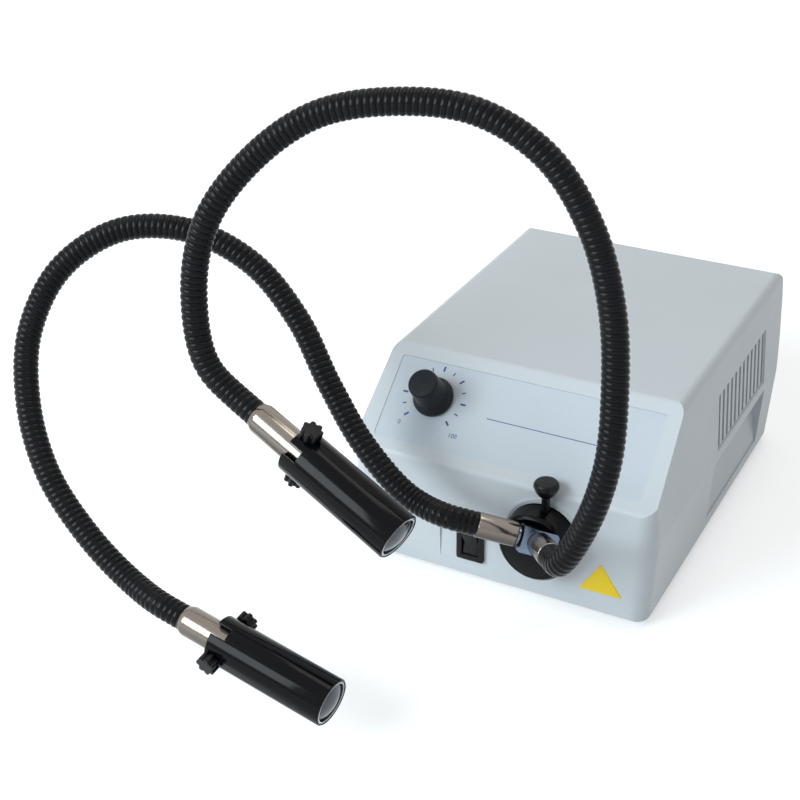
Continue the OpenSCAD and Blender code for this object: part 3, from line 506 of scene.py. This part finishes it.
def make_finishes(case, hose):
    """Every finish. Those of one kind take the same values: the name and colour, then roughness and so on."""
    moulded_finish("Grey moulding", case.shell, 0.40, grain=0.16, handling=0.16)
    film_finish("Label film", case.label)
    film_finish("Dial ink", case.print_ink)
    moulded_finish("Yellow enamel", case.plate, 0.34, grain=0.05, handling=0.3, scale=700.0)
    moulded_finish("Knob plastic", (0.008, 0.010, 0.014), 0.36, grain=0.2, handling=0.25, dust=0.03,
                   specular=0.2)
    moulded_finish("Rocker plastic", (0.005, 0.005, 0.006), 0.26, grain=0.1, handling=0.2, specular=0.25)
    moulded_finish("Thumb screw plastic", (0.006, 0.006, 0.007), 0.26, grain=0.16, handling=0.25, dust=0.04,
                   specular=0.2)
    moulded_finish("Foot rubber", (0.018, 0.018, 0.018), 0.75, grain=0.5, handling=0.5, scale=1100.0)
    moulded_finish("Plain black plastic", (0.012, 0.012, 0.013), 0.48, grain=0.25, handling=0.4, dust=0.3)
    moulded_finish("White ceramic", (0.82, 0.82, 0.79), 0.5, grain=0.3, handling=0.2)
    moulded_finish("White nylon", (0.80, 0.80, 0.78), 0.45, grain=0.2, handling=0.2)
    metal_finish("Black anodised metal", (0.003, 0.003, 0.004), 0.12, depth=0.03, metallic=0.0,
                 scale=1500.0, handling=0.15, specular=0.13)
    metal_finish("Port black", (0.002, 0.002, 0.002), 0.2, depth=0.06, metallic=0.0, scale=1200.0,
                 specular=0.16)
    # Plated sleeve: its dark warm colour is a painted reflection of a darker, warmer surround, and its
    # downward sides carry painted shade
    metal_finish("Plated sleeve", (0.27, 0.24, 0.21), 0.17, depth=0.07, scale=1400.0, under=0.25)
    # Split block: its blue-grey tint is a painted reflection of blue-grey light, not the metal's own colour
    metal_finish("Block with painted reflection", (0.16, 0.21, 0.29), 0.18, depth=0.06)
    metal_finish("Bright ring", (0.38, 0.40, 0.43), 0.14, depth=0.05, scale=1500.0)
    metal_finish("Bright steel", (0.55, 0.55, 0.57), 0.28, depth=0.12)
    metal_finish("Bare aluminium", (0.66, 0.67, 0.69), 0.38, depth=0.2, stretch=(1.0, 0.05, 1.0))
    hose_finish("Hose coating", hose.colour)
    glass_finish("Lens glass", (0.055, 0.075, 0.105), transmission=0.35)
    board_finish("Circuit board", (0.02, 0.11, 0.05))
    strand_finish("Glass strands")


def dress(obj, finish):
    obj.data.materials.clear()
    obj.data.materials.append(FINISHES[finish])


# ---- Mesh helpers


def merged_copy(node):
    """A CAD node's mesh as a bmesh, its doubles merged."""
    bm = bmesh.new()
    bm.from_mesh(NODES[node].data)
    bmesh.ops.remove_doubles(bm, verts=bm.verts[:], dist=DOUBLES)
    return bm


def edges_over(bm, angle):
    """The edges whose two faces turn by more than an angle in degrees."""
    limit = math.radians(angle)
    return [e for e in bm.edges if len(e.link_faces) == 2 and e.calc_face_angle(0.0) > limit]


def eased(bm, edges, offset, segments=2):
    """Edges rounded by an offset in metres."""
    bmesh.ops.bevel(
        bm, geom=edges, offset=offset, offset_type="OFFSET", segments=segments, profile=0.5,
        affect="EDGES", clamp_overlap=True, material=-1,
    )


def trimmed(bm, place, normal, dist):
    """Clears what lies past a plane, and gives the cut back."""
    return bmesh.ops.bisect_plane(
        bm, geom=bm.verts[:] + bm.edges[:] + bm.faces[:], dist=dist, plane_co=place, plane_no=normal,
        clear_outer=True,
    )


def to_object(name, bm, finish, body, smooth=True, sharp=35.0):
    """Makes a bmesh a piece that rides on a body. Its faces are smooth, and edges sharper than the angle
    stay sharp."""
    bmesh.ops.recalc_face_normals(bm, faces=bm.faces[:])
    for face in bm.faces:
        face.smooth = smooth
    for edge in bm.edges:
        edge.smooth = True
    for edge in edges_over(bm, sharp):
        edge.smooth = False
    mesh = bpy.data.meshes.new(name)
    bm.to_mesh(mesh)
    bm.free()
    obj = bpy.data.objects.new(name, mesh)
    bpy.context.scene.collection.objects.link(obj)
    dress(obj, finish)
    if body:
        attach(obj, body)
    return obj


def body_of(node):
    return NODES[node]["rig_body"]


def softened(node, radius, finish, segments=2, angle=28.0, limit=0.6):
    """A copy of a solid with its flat faces merged and its edges rounded, which stands for it."""
    bm = merged_copy(node)
    bmesh.ops.dissolve_limit(bm, angle_limit=math.radians(limit), verts=bm.verts[:], edges=bm.edges[:])
    bmesh.ops.recalc_face_normals(bm, faces=bm.faces[:])
    eased(bm, edges_over(bm, angle), radius * MM, segments)
    obj = to_object(node + "_finished", bm, finish, body_of(node))
    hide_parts(node)


def corners_eased(node, radius, finish, facets=8):
    """A copy of the lower case whose four upright corners stay round right down to the floor: each is cut
    along the planes that touch a leaning arc, and the cuts are filled."""
    bm = merged_copy(node)
    inset = LEAN_LOW + radius
    for side, end in ((1, 1), (1, -1), (-1, 1), (-1, -1)):
        lean = Vector((side * LEAN_LOW, end * LEAN_LOW, CREASE))
        middle = Vector((side * (CASE_W / 2 - inset), end * (CASE_D / 2 - inset), FOOT_H))
        for k in range(facets):
            angle = math.radians(90 * (k + 0.5) / facets)
            out = Vector((side * math.cos(angle), end * math.sin(angle), 0))
            across = Vector((-out.y, out.x, 0))
            normal = across.cross(lean).normalized()
            if normal.dot(out) < 0:
                normal = -normal
            cut = trimmed(bm, (middle + radius * out) * MM, normal, 1e-6)
            rim = [e for e in cut["geom_cut"] if isinstance(e, bmesh.types.BMEdge) and e.is_boundary]
            if rim:
                bmesh.ops.holes_fill(bm, edges=rim, sides=0)
    obj = to_object(node + "_finished", bm, finish, body_of(node))
    even = obj.modifiers.new("even shading", "WEIGHTED_NORMAL")
    even.keep_sharp = True
    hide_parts(node)


def spun(outline, matrix, steps=64):
    """A solid of revolution: an outline of (radius, height) pairs turned about the Z axis, then placed."""
    bm = bmesh.new()
    points = [bm.verts.new((r * MM, 0, h * MM)) for r, h in outline]
    edges = [bm.edges.new(pair) for pair in zip(points[:-1], points[1:])]
    bmesh.ops.spin(bm, geom=points + edges, cent=(0, 0, 0), axis=(0, 0, 1), angle=math.tau, steps=steps,
                   use_merge=True)
    bmesh.ops.remove_doubles(bm, verts=bm.verts[:], dist=1e-7)
    bmesh.ops.transform(bm, matrix=matrix, verts=bm.verts[:])
    return bm


def block(size, centre, matrix):
    """A box of that size in millimetres about a centre, then placed."""
    bm = bmesh.new()
    bmesh.ops.create_cube(bm, size=1.0)
    bmesh.ops.scale(bm, vec=Vector(size) * MM, verts=bm.verts[:])
    bmesh.ops.translate(bm, vec=Vector(centre) * MM, verts=bm.verts[:])
    bmesh.ops.transform(bm, matrix=matrix, verts=bm.verts[:])
    return bm


def joined(parts):
    """Several bmeshes as one."""
    whole = bmesh.new()
    for part in parts:
        mesh = bpy.data.meshes.new("part")
        part.to_mesh(mesh)
        part.free()
        whole.from_mesh(mesh)
        bpy.data.meshes.remove(mesh)
    return whole


def lettering(text, height, thickness, matrix):
    """Plain raised figures, centred on the matrix's origin in its XY plane, as a bmesh."""
    curve = bpy.data.curves.new("figures", "FONT")
    curve.body = text
    curve.size = height * MM
    curve.extrude = thickness * MM / 2
    curve.align_x = "CENTER"
    curve.align_y = "CENTER"
    curve.resolution_u = 3
    holder = bpy.data.objects.new("figures", curve)
    bpy.context.scene.collection.objects.link(holder)
    graph = bpy.context.evaluated_depsgraph_get()
    mesh = bpy.data.meshes.new_from_object(holder.evaluated_get(graph))
    bm = bmesh.new()
    bm.from_mesh(mesh)
    bpy.data.objects.remove(holder)
    bpy.data.curves.remove(curve)
    bpy.data.meshes.remove(mesh)
    bmesh.ops.remove_doubles(bm, verts=bm.verts[:], dist=1e-7)
    bmesh.ops.transform(bm, matrix=matrix, verts=bm.verts[:])
    return bm


def mm_place(x, y, z):
    return Matrix.Translation(Vector((x, y, z)) * MM)


def panel_matrix(x, s, out=0.0):
    """The panel label's frame at x and s up the slope: X right, Y up the slope, Z out of it."""
    slope = Matrix.Rotation(math.atan2(PANEL_RISE, PANEL_RUN), 4, "X")
    base = mm_place(0, -CASE_D / 2, FOOT_H + PANEL_LOW)
    return base @ slope @ mm_place(x, s, out - LABEL_DROP)


def front_matrix(x, z, out=0.0):
    """The lower front wall's frame at x and height z over the underside: X right, Y up, Z out of it."""
    lean = math.atan2(LEAN_LOW, CREASE)
    base = mm_place(x, -CASE_D / 2 + LEAN_LOW * (CREASE - z) / CREASE, FOOT_H + z)
    return base @ Matrix.Rotation(math.pi / 2 + lean, 4, "X") @ mm_place(0, 0, out)


# ---- Light guide: the curve that the goosenecks follow


def sleeve_dir(arm):
    """A base sleeve's heading: half right or half left of straight ahead, with the block's tilt and turn."""
    side = 1 if arm == 0 else -1
    start = Vector((side * math.sin(math.pi / 4), -math.cos(math.pi / 4), 0))
    tilt = Matrix.Rotation(math.radians(-BLOCK_TILT), 3, "X")
    return Matrix.Rotation(math.radians(-BLOCK_TURN), 3, "Z") @ tilt @ start


def tip_dir(arm):
    """A tip sleeve's heading."""
    dip, heading = math.radians(TIP_DIP[arm]), math.radians(TIP_HEADING[arm])
    return Vector((math.cos(dip) * math.cos(heading), math.cos(dip) * math.sin(heading), -math.sin(dip)))


def tip_matrix(arm, along=0.0):
    """A tip sleeve's frame: Z along the sleeve from the hose's end."""
    dip = Matrix.Rotation(math.radians(90 + TIP_DIP[arm]), 4, "Y")
    heading = Matrix.Rotation(math.radians(TIP_HEADING[arm]), 4, "Z")
    return mm_place(*(PORT + HOSE_END[arm])) @ heading @ dip @ mm_place(0, 0, along)


def slope_at(a, b, c):
    """The curve's slope at b, between its neighbours a and c."""
    p, q = (b - a).length, (c - b).length
    return ((b - a) * q / p + (c - b) * p / q) / (p + q)


class Route:
    """A gooseneck's centre line in millimetres, by arc length from the base sleeve's start at the block."""

    def __init__(self, arm, steps=24):
        start = SPLIT + SLEEVE_AT * sleeve_dir(arm)
        hose_start = start + SLEEVE_LEN * sleeve_dir(arm)
        points = [start] + [hose_start + k * HOSE_R * sleeve_dir(arm) for k in (0, 1, 2)]
        points += [Vector(p) for p in BENDS[arm]]
        points += [HOSE_END[arm] - k * HOSE_R * tip_dir(arm) for k in (2, 1, 0)]
        points += [HOSE_END[arm] + TIP_LEN * tip_dir(arm)]
        ends = [2 * points[0] - points[1]] + points + [2 * points[-1] - points[-2]]
        self.line, self.run = [], [0.0]
        for i in range(1, len(points)):
            a, b, c, d = ends[i - 1:i + 3]
            q = (c - b).length
            m, n = q * slope_at(a, b, c), q * slope_at(b, c, d)
            for k in range(steps):  # a cubic from b to c
                t = k / steps
                w = t * t * (3 - 2 * t)
                self.line.append((1 - w) * b + w * c + t * (1 - t) * ((1 - t) * m - t * n))
        self.line.append(points[-1])
        for a, b in zip(self.line[:-1], self.line[1:]):
            self.run.append(self.run[-1] + (b - a).length)
        self.first, self.last = SLEEVE_LEN, self.run[-1] - TIP_LEN  # the hose's two ends

    def at(self, s):
        """The point at arc length s, found by halving."""
        low, high = 0, len(self.run) - 1
        while high - low > 1:
            mid = (low + high) // 2
            if self.run[mid] <= s:
                low = mid
            else:
                high = mid
        share = (s - self.run[low]) / (self.run[high] - self.run[low])
        return PORT + self.line[low].lerp(self.line[high], share)

    def frame(self, s):
        """Place, heading and the two directions across it at arc length s."""
        near = 0.6
        t = (self.at(s + near) - self.at(s - near)).normalized()
        u = t.cross(Vector((0, 1, 0))).normalized()
        return self.at(s), t, u, u.cross(t)

    def pivot(self, i):
        """Arc length of hinge i, which lies between lengths i and i + 1."""
        return self.first + (self.last - self.first) * i / LENGTHS


def hose_piece(name, route, low, high, settings):
    """A stretch of strip hose: an outline of turns spun into a helix along Z, trimmed square, and bent onto
    the route. It is in millimetres until it is bent."""
    pitch, groove = settings.pitch / MM, settings.groove / MM
    # One turn's outline: its share of the pitch, and the share of the groove's depth left standing
    turn_shape = ((0.0, 0.0), (0.10, 0.55), (0.30, 1.0), (0.62, 1.0), (0.86, 0.55))
    bm = bmesh.new()
    first = math.floor(low / pitch) - 1
    count = math.ceil((high - low) / pitch) + 3
    points = []
    for k in range(count):
        for share, left in turn_shape:
            radius = HOSE_R - groove * (1 - left)
            points.append(bm.verts.new((radius, 0, (first + k + share) * pitch)))
    edges = [bm.edges.new(pair) for pair in zip(points[:-1], points[1:])]
    bmesh.ops.spin(
        bm, geom=points + edges, cent=(0, 0, 0), axis=(0, 0, 1), angle=math.tau, steps=settings.sides,
        dvec=(0, 0, pitch / settings.sides), use_merge=False,
    )
    bmesh.ops.remove_doubles(bm, verts=bm.verts[:], dist=0.004)
    for height, side in ((low, -1), (high, 1)):
        trimmed(bm, (0, 0, height), (0, 0, side), 1e-5)
    rims = [e for e in bm.edges if e.is_boundary and abs(e.verts[0].co.z - e.verts[1].co.z) < 1e-4]
    bmesh.ops.holes_fill(bm, edges=rims, sides=0)
    crest = bm.verts.layers.float.new("crest")
    for v in bm.verts:
        radius = math.hypot(v.co.x, v.co.y)
        v[crest] = max(0.0, min(1.0, (radius - HOSE_R + groove) / groove))
        place, _, u, w = route.frame(v.co.z)
        v.co = (place + v.co.x * u + v.co.y * w) * MM
    return to_object(name, bm, "Hose coating", None, sharp=80.0)


# ---- Operators


class LIGHTSOURCE_OT_finishes(bpy.types.Operator):
    """Makes every finish that the pieces wear"""

    bl_idname = "lightsource.finishes"
    bl_label = "Finishes"

    def execute(self, context):
        make_finishes(context.scene.lightsource_case, context.scene.lightsource_hose)
        return {"FINISHED"}


class LIGHTSOURCE_OT_case(bpy.types.Operator):
    """Dresses the lamp case, its feet and screws"""

    bl_idname = "lightsource.case"
    bl_label = "Lamp case"

    def execute(self, context):
        dress(NODES["upper_cover"], "Grey moulding")
        corners_eased("lower_case", 9.5, "Grey moulding")
        softened("rubber_feet", 0.5, "Foot rubber")
        softened("case_screws", 0.2, "Bright steel")
        return {"FINISHED"}


class LIGHTSOURCE_OT_panel(bpy.types.Operator):
    """Makes the panel label's print: the ring of dial marks, its two figures and a thin rule"""

    bl_idname = "lightsource.panel"
    bl_label = "Panel print"

    def execute(self, context):
        case = context.scene.lightsource_case
        dress(NODES["control_label"], "Label film")
        parts = []
        for k in range(case.dial_marks):
            angle = math.radians(DIAL_FIRST - DIAL_SWEEP * k / (case.dial_marks - 1))
            length, width, shift = MARKS[k % 2]
            parts.append(block((length, width, PRINT_T), (case.dial_r / MM + shift, 0, PRINT_T / 2),
                               panel_matrix(KNOB_X, KNOB_S) @ Matrix.Rotation(angle, 4, "Z")))
        for text, x, s in FIGURES:
            parts.append(lettering(text, FIGURE_H, PRINT_T, panel_matrix(x, s, PRINT_T / 2)))
        parts.append(block(RULE_SIZE, (0, 0, PRINT_T / 2), panel_matrix(RULE_X, RULE_S)))
        to_object("panel_print", joined(parts), "Dial ink", "case", smooth=False)
        return {"FINISHED"}


class LIGHTSOURCE_OT_plate(bpy.types.Operator):
    """Makes the plain three-cornered plate beside the port and the raised switch marks"""

    bl_idname = "lightsource.plate"
    bl_label = "Plate and switch marks"

    def execute(self, context):
        bm = bmesh.new()
        bmesh.ops.create_circle(bm, cap_ends=True, segments=3, radius=PLATE_R * MM)
        bmesh.ops.scale(bm, vec=PLATE_SHAPE, verts=bm.verts[:])
        bmesh.ops.bevel(bm, geom=bm.verts[:], offset=1.0 * MM, offset_type="OFFSET", segments=3, profile=0.5,
                        affect="VERTICES", clamp_overlap=True, material=-1)
        made = bmesh.ops.extrude_face_region(bm, geom=bm.faces[:])
        top = [v for v in made["geom"] if isinstance(v, bmesh.types.BMVert)]
        bmesh.ops.translate(bm, vec=(0, 0, PLATE_T * MM), verts=top)
        eased(bm, [e for e in bm.edges if all(v in top for v in e.verts)], 0.12 * MM)
        bmesh.ops.transform(bm, matrix=front_matrix(PLATE_X, PLATE_Z), verts=bm.verts[:])
        to_object("plain_plate", bm, "Yellow enamel", "case")
        marks = []
        for text, z in SWITCH_MARKS:
            place = front_matrix(SWITCH_MARK_X, z, SWITCH_MARK_OUT)
            marks.append(lettering(text, SWITCH_MARK_H, SWITCH_MARK_T, place))
        to_object("switch_marks", joined(marks), "Grey moulding", "case", smooth=False)
        return {"FINISHED"}


class LIGHTSOURCE_OT_controls(bpy.types.Operator):
    """Rounds and dresses the intensity knob and the rocker switch"""

    bl_idname = "lightsource.controls"
    bl_label = "Knob and switch"

    def execute(self, context):
        softened("intensity_knob", 0.35, "Knob plastic", segments=3)
        softened("rocker_frame", 0.3, "Rocker plastic")
        softened("rocker_button", 0.3, "Rocker plastic")
        dress(NODES["knob_shaft"], "Bright steel")
        dress(NODES["control_pot"], "Bright steel")
        return {"FINISHED"}


class LIGHTSOURCE_OT_port(bpy.types.Operator):
    """Rounds and dresses the nosepiece, the adapter and the clamp screw"""

    bl_idname = "lightsource.port"
    bl_label = "Light port"

    def execute(self, context):
        softened("nosepiece", 0.25, "Port black")
        softened("port_adapter", 0.2, "Port black")
        softened("guide_plug", 0.3, "Port black")
        softened("clamp_screw", 0.35, "Thumb screw plastic", segments=3)
        dress(NODES["clamp_pad"], "White nylon")
        dress(NODES["condenser_lens"], "Lens glass")
        return {"FINISHED"}


class LIGHTSOURCE_OT_goosenecks(bpy.types.Operator):
    """Makes both goosenecks at their true pitch, each stretch reaching across one hinge"""

    bl_idname = "lightsource.goosenecks"
    bl_label = "Goosenecks"

    def execute(self, context):
        settings = context.scene.lightsource_hose
        for arm, side in enumerate(SIDES):
            route = Route(arm)
            cuts = [route.first]
            cuts += [(route.pivot(i) + route.pivot(i + 1)) / 2 for i in (1, 2, 3)]
            cuts += [route.last]
            for i in range(4):
                name = f"{side}_gooseneck_{i + 1}"
                piece = hose_piece(name, route, cuts[i], cuts[i + 1], settings)
                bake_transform(piece)
                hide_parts(f"{side}_hose_{i + 1}", f"{side}_hose_{i + 2}")
            for i in range(LENGTHS):
                dress(NODES[f"{side}_bundle_{i + 1}"], "Glass strands")
        return {"FINISHED"}


class LIGHTSOURCE_OT_sleeves(bpy.types.Operator):
    """Rounds and dresses the split block and the four plated sleeves"""

    bl_idname = "lightsource.sleeves"
    bl_label = "Block and sleeves"

    def execute(self, context):
        softened("split_block", 0.5, "Block with painted reflection", segments=3)
        for side in SIDES:
            softened(f"{side}_base_sleeve", 0.25, "Plated sleeve")
            softened(f"{side}_tip_sleeve", 0.25, "Plated sleeve")
        return {"FINISHED"}


class LIGHTSOURCE_OT_lens_units(bpy.types.Operator):
    """Rounds and dresses the barrels and their star screws, and turns the domed lenses"""

    bl_idname = "lightsource.lens_units"
    bl_label = "Lens units"

    def execute(self, context):
        for arm, side in enumerate(SIDES):
            softened(f"{side}_barrel", 0.3, "Black anodised metal")
            for n in (1, 2):
                softened(f"{side}_barrel_screw_{n}", 0.3, "Thumb screw plastic")
            softened(f"{side}_lens_ring", 0.15, "Bright ring")
            seat = BARREL_LEN - LENS_SEAT
            rim = seat + LENS_EDGE - math.sqrt(DOME_R ** 2 - LENS_R ** 2)
            radii = [LENS_R * k / LENS_STEPS for k in range(LENS_STEPS, -1, -1)]
            outline = [(0, seat), (LENS_R - LENS_CHAMFER, seat), (LENS_R, seat + LENS_CHAMFER)]
            outline += [(r, rim + math.sqrt(DOME_R ** 2 - r ** 2)) for r in radii]
            place = tip_matrix(arm, TIP_SHOW - arm * SET_BACK)
            lens = to_object(f"{side}_lens_dome", spun(outline, place), "Lens glass",
                             f"{side}_focus")
            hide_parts(f"{side}_lens")
        return {"FINISHED"}


class LIGHTSOURCE_OT_inside(bpy.types.Operator):
    """Dresses what shows through the louvres, the grille and the rear"""

    bl_idname = "lightsource.inside"
    bl_label = "Inside and rear"

    def execute(self, context):
        for node, finish in (
            ("led_board", "White ceramic"), ("led_heat_sink", "Bare aluminium"),
            ("power_supply", "Circuit board"), ("circuit_board", "Circuit board"),
            ("fan_frame", "Plain black plastic"), ("fan_rotor", "Plain black plastic"),
        ):
            dress(NODES[node], finish)
        softened("power_inlet", 0.3, "Plain black plastic")
        softened("fuse_drawer", 0.25, "Plain black plastic")
        return {"FINISHED"}


# ---- Stage


def soft_lamp(name, power, place, size, colour):
    """A rectangular lamp that faces the middle of the part."""
    light = bpy.data.lights.new(name, "AREA")
    light.shape = "RECTANGLE"
    light.size, light.size_y = size
    light.energy = power
    light.color = colour
    lamp = bpy.data.objects.new(name, light)
    bpy.context.scene.collection.objects.link(lamp)
    lamp.location = place
    lamp.rotation_euler = (Vector(LAMP_TARGET) - Vector(place)).to_track_quat("-Z", "Y").to_euler()


def camera_ray_mix(tree, plain, seen):
    """Plain lights the object; camera, glossy and transmission rays see the other one."""
    path = tree.nodes.new("ShaderNodeLightPath")
    either = math_node(tree, "MAXIMUM", path.outputs["Is Camera Ray"], path.outputs["Is Transmission Ray"])
    either = math_node(tree, "MAXIMUM", either, path.outputs["Is Glossy Ray"])
    mix = tree.nodes.new("ShaderNodeMixShader")
    for index, source in enumerate((either, plain, seen)):
        wire(tree, source, mix.inputs[index])
    return mix.outputs[0]


def place_camera(scene):
    """The camera at the photograph's viewpoint."""
    data = bpy.data.cameras.new("camera")
    data.sensor_width = CAMERA_SENSOR
    data.lens = CAMERA_LENS
    data.clip_start, data.clip_end = 0.02, 60.0
    camera = bpy.data.objects.new("camera", data)
    scene.collection.objects.link(camera)
    back = CAMERA_BACK.normalized()
    up = back.cross(CAMERA_RIGHT).normalized()
    turn = Matrix((up.cross(back), up, back)).transposed().to_4x4()
    camera.matrix_world = Matrix.Translation(CAMERA_AT * MM) @ turn
    scene.camera = camera


def lay_floor():
    """A pale disc that keeps the object's shadow. Its lift grows away from the lamps, so it stays white."""
    FINISHES["Pale floor"] = bpy.data.materials.new("Pale floor")
    tree = cleared_tree(FINISHES["Pale floor"])
    out = tree.nodes.new("ShaderNodeOutputMaterial")
    matt = make_node(tree, "ShaderNodeBsdfDiffuse", Color=(0.86, 0.86, 0.86, 1))
    away = make_node(tree, "ShaderNodeVectorMath", operation="LENGTH")
    wire(tree, object_place(tree), away.inputs[0])
    growth = make_node(tree, "ShaderNodeMapRange", interpolation_type="SMOOTHSTEP",
                       Value=away.outputs["Value"])
    for key, value in FLOOR_LIFT.items():
        growth.inputs[key].default_value = value
    lift = make_node(tree, "ShaderNodeEmission", Color=(1, 1, 1, 1), Strength=growth.outputs[0])
    both = tree.nodes.new("ShaderNodeAddShader")
    wire(tree, matt.outputs[0], both.inputs[0])
    wire(tree, lift.outputs[0], both.inputs[1])
    wire(tree, camera_ray_mix(tree, matt.outputs[0], both.outputs[0]), out.inputs[0])
    bm = bmesh.new()
    bmesh.ops.create_circle(bm, cap_ends=True, segments=64, radius=FLOOR_R)
    bmesh.ops.translate(bm, vec=(0, 0, -FLOOR_DROP), verts=bm.verts[:])
    floor = to_object("floor", bm, "Pale floor", None, smooth=False)


def make_world(scene, strength):
    """Even pale light all round, seen as plain white."""
    scene.world = bpy.data.worlds.new("studio")
    tree = cleared_tree(scene.world)
    out = tree.nodes.new("ShaderNodeOutputWorld")
    even = make_node(tree, "ShaderNodeBackground", Color=SKY_COLOUR, Strength=strength)
    white = make_node(tree, "ShaderNodeBackground", Color=(1, 1, 1, 1), Strength=1.0)
    wire(tree, camera_ray_mix(tree, even.outputs[0], white.outputs[0]), out.inputs[0])


class LIGHTSOURCE_OT_stage(bpy.types.Operator):
    """Makes the camera, the pale floor and plain soft studio light"""

    bl_idname = "lightsource.stage"
    bl_label = "Stage"

    def execute(self, context):
        scene = context.scene
        settings = scene.lightsource_stage
        place_camera(scene)
        lay_floor()
        make_world(scene, settings.sky)
        soft_lamp("key lamp", settings.key, *KEY_LAMP)
        soft_lamp("top lamp", settings.top, *TOP_LAMP)
        scene.view_settings.view_transform = "Standard"
        return {"FINISHED"}


class LIGHTSOURCE_PT_panel(bpy.types.Panel):
    """Lists the pieces of the light source and their values"""

    bl_idname = "LIGHTSOURCE_PT_panel"
    bl_label = "Light Source"
    bl_space_type = "VIEW_3D"
    bl_region_type = "UI"
    bl_category = "Light Source"

    def draw(self, context):
        column = self.layout.column()
        for setting, group in SETTINGS.items():
            values = getattr(context.scene, setting)
            for key in group.__annotations__:
                column.prop(values, key)
        for operator in OPERATORS:
            column.operator(operator.bl_idname)


OPERATORS = (
    LIGHTSOURCE_OT_finishes,
    LIGHTSOURCE_OT_stage,
    LIGHTSOURCE_OT_case,
    LIGHTSOURCE_OT_panel,
    LIGHTSOURCE_OT_plate,
    LIGHTSOURCE_OT_controls,
    LIGHTSOURCE_OT_port,
    LIGHTSOURCE_OT_goosenecks,
    LIGHTSOURCE_OT_sleeves,
    LIGHTSOURCE_OT_lens_units,
    LIGHTSOURCE_OT_inside,
)
CLASSES = (*SETTINGS.values(), *OPERATORS, LIGHTSOURCE_PT_panel)


def register():
    for cls in CLASSES:
        bpy.utils.register_class(cls)
    for setting, group in SETTINGS.items():
        setattr(bpy.types.Scene, setting, PointerProperty(type=group))


def unregister():
    for setting in SETTINGS:
        delattr(bpy.types.Scene, setting)
    for cls in reversed(CLASSES):
        bpy.utils.unregister_class(cls)


def main():
    register()
    bpy.ops.lightsource.finishes()
    bpy.ops.lightsource.stage()
    bpy.ops.lightsource.case()
    bpy.ops.lightsource.panel()
    bpy.ops.lightsource.plate()
    bpy.ops.lightsource.controls()
    bpy.ops.lightsource.port()
    bpy.ops.lightsource.goosenecks()
    bpy.ops.lightsource.sleeves()
    bpy.ops.lightsource.lens_units()
    bpy.ops.lightsource.inside()


if __name__ == "__main__":
    main()
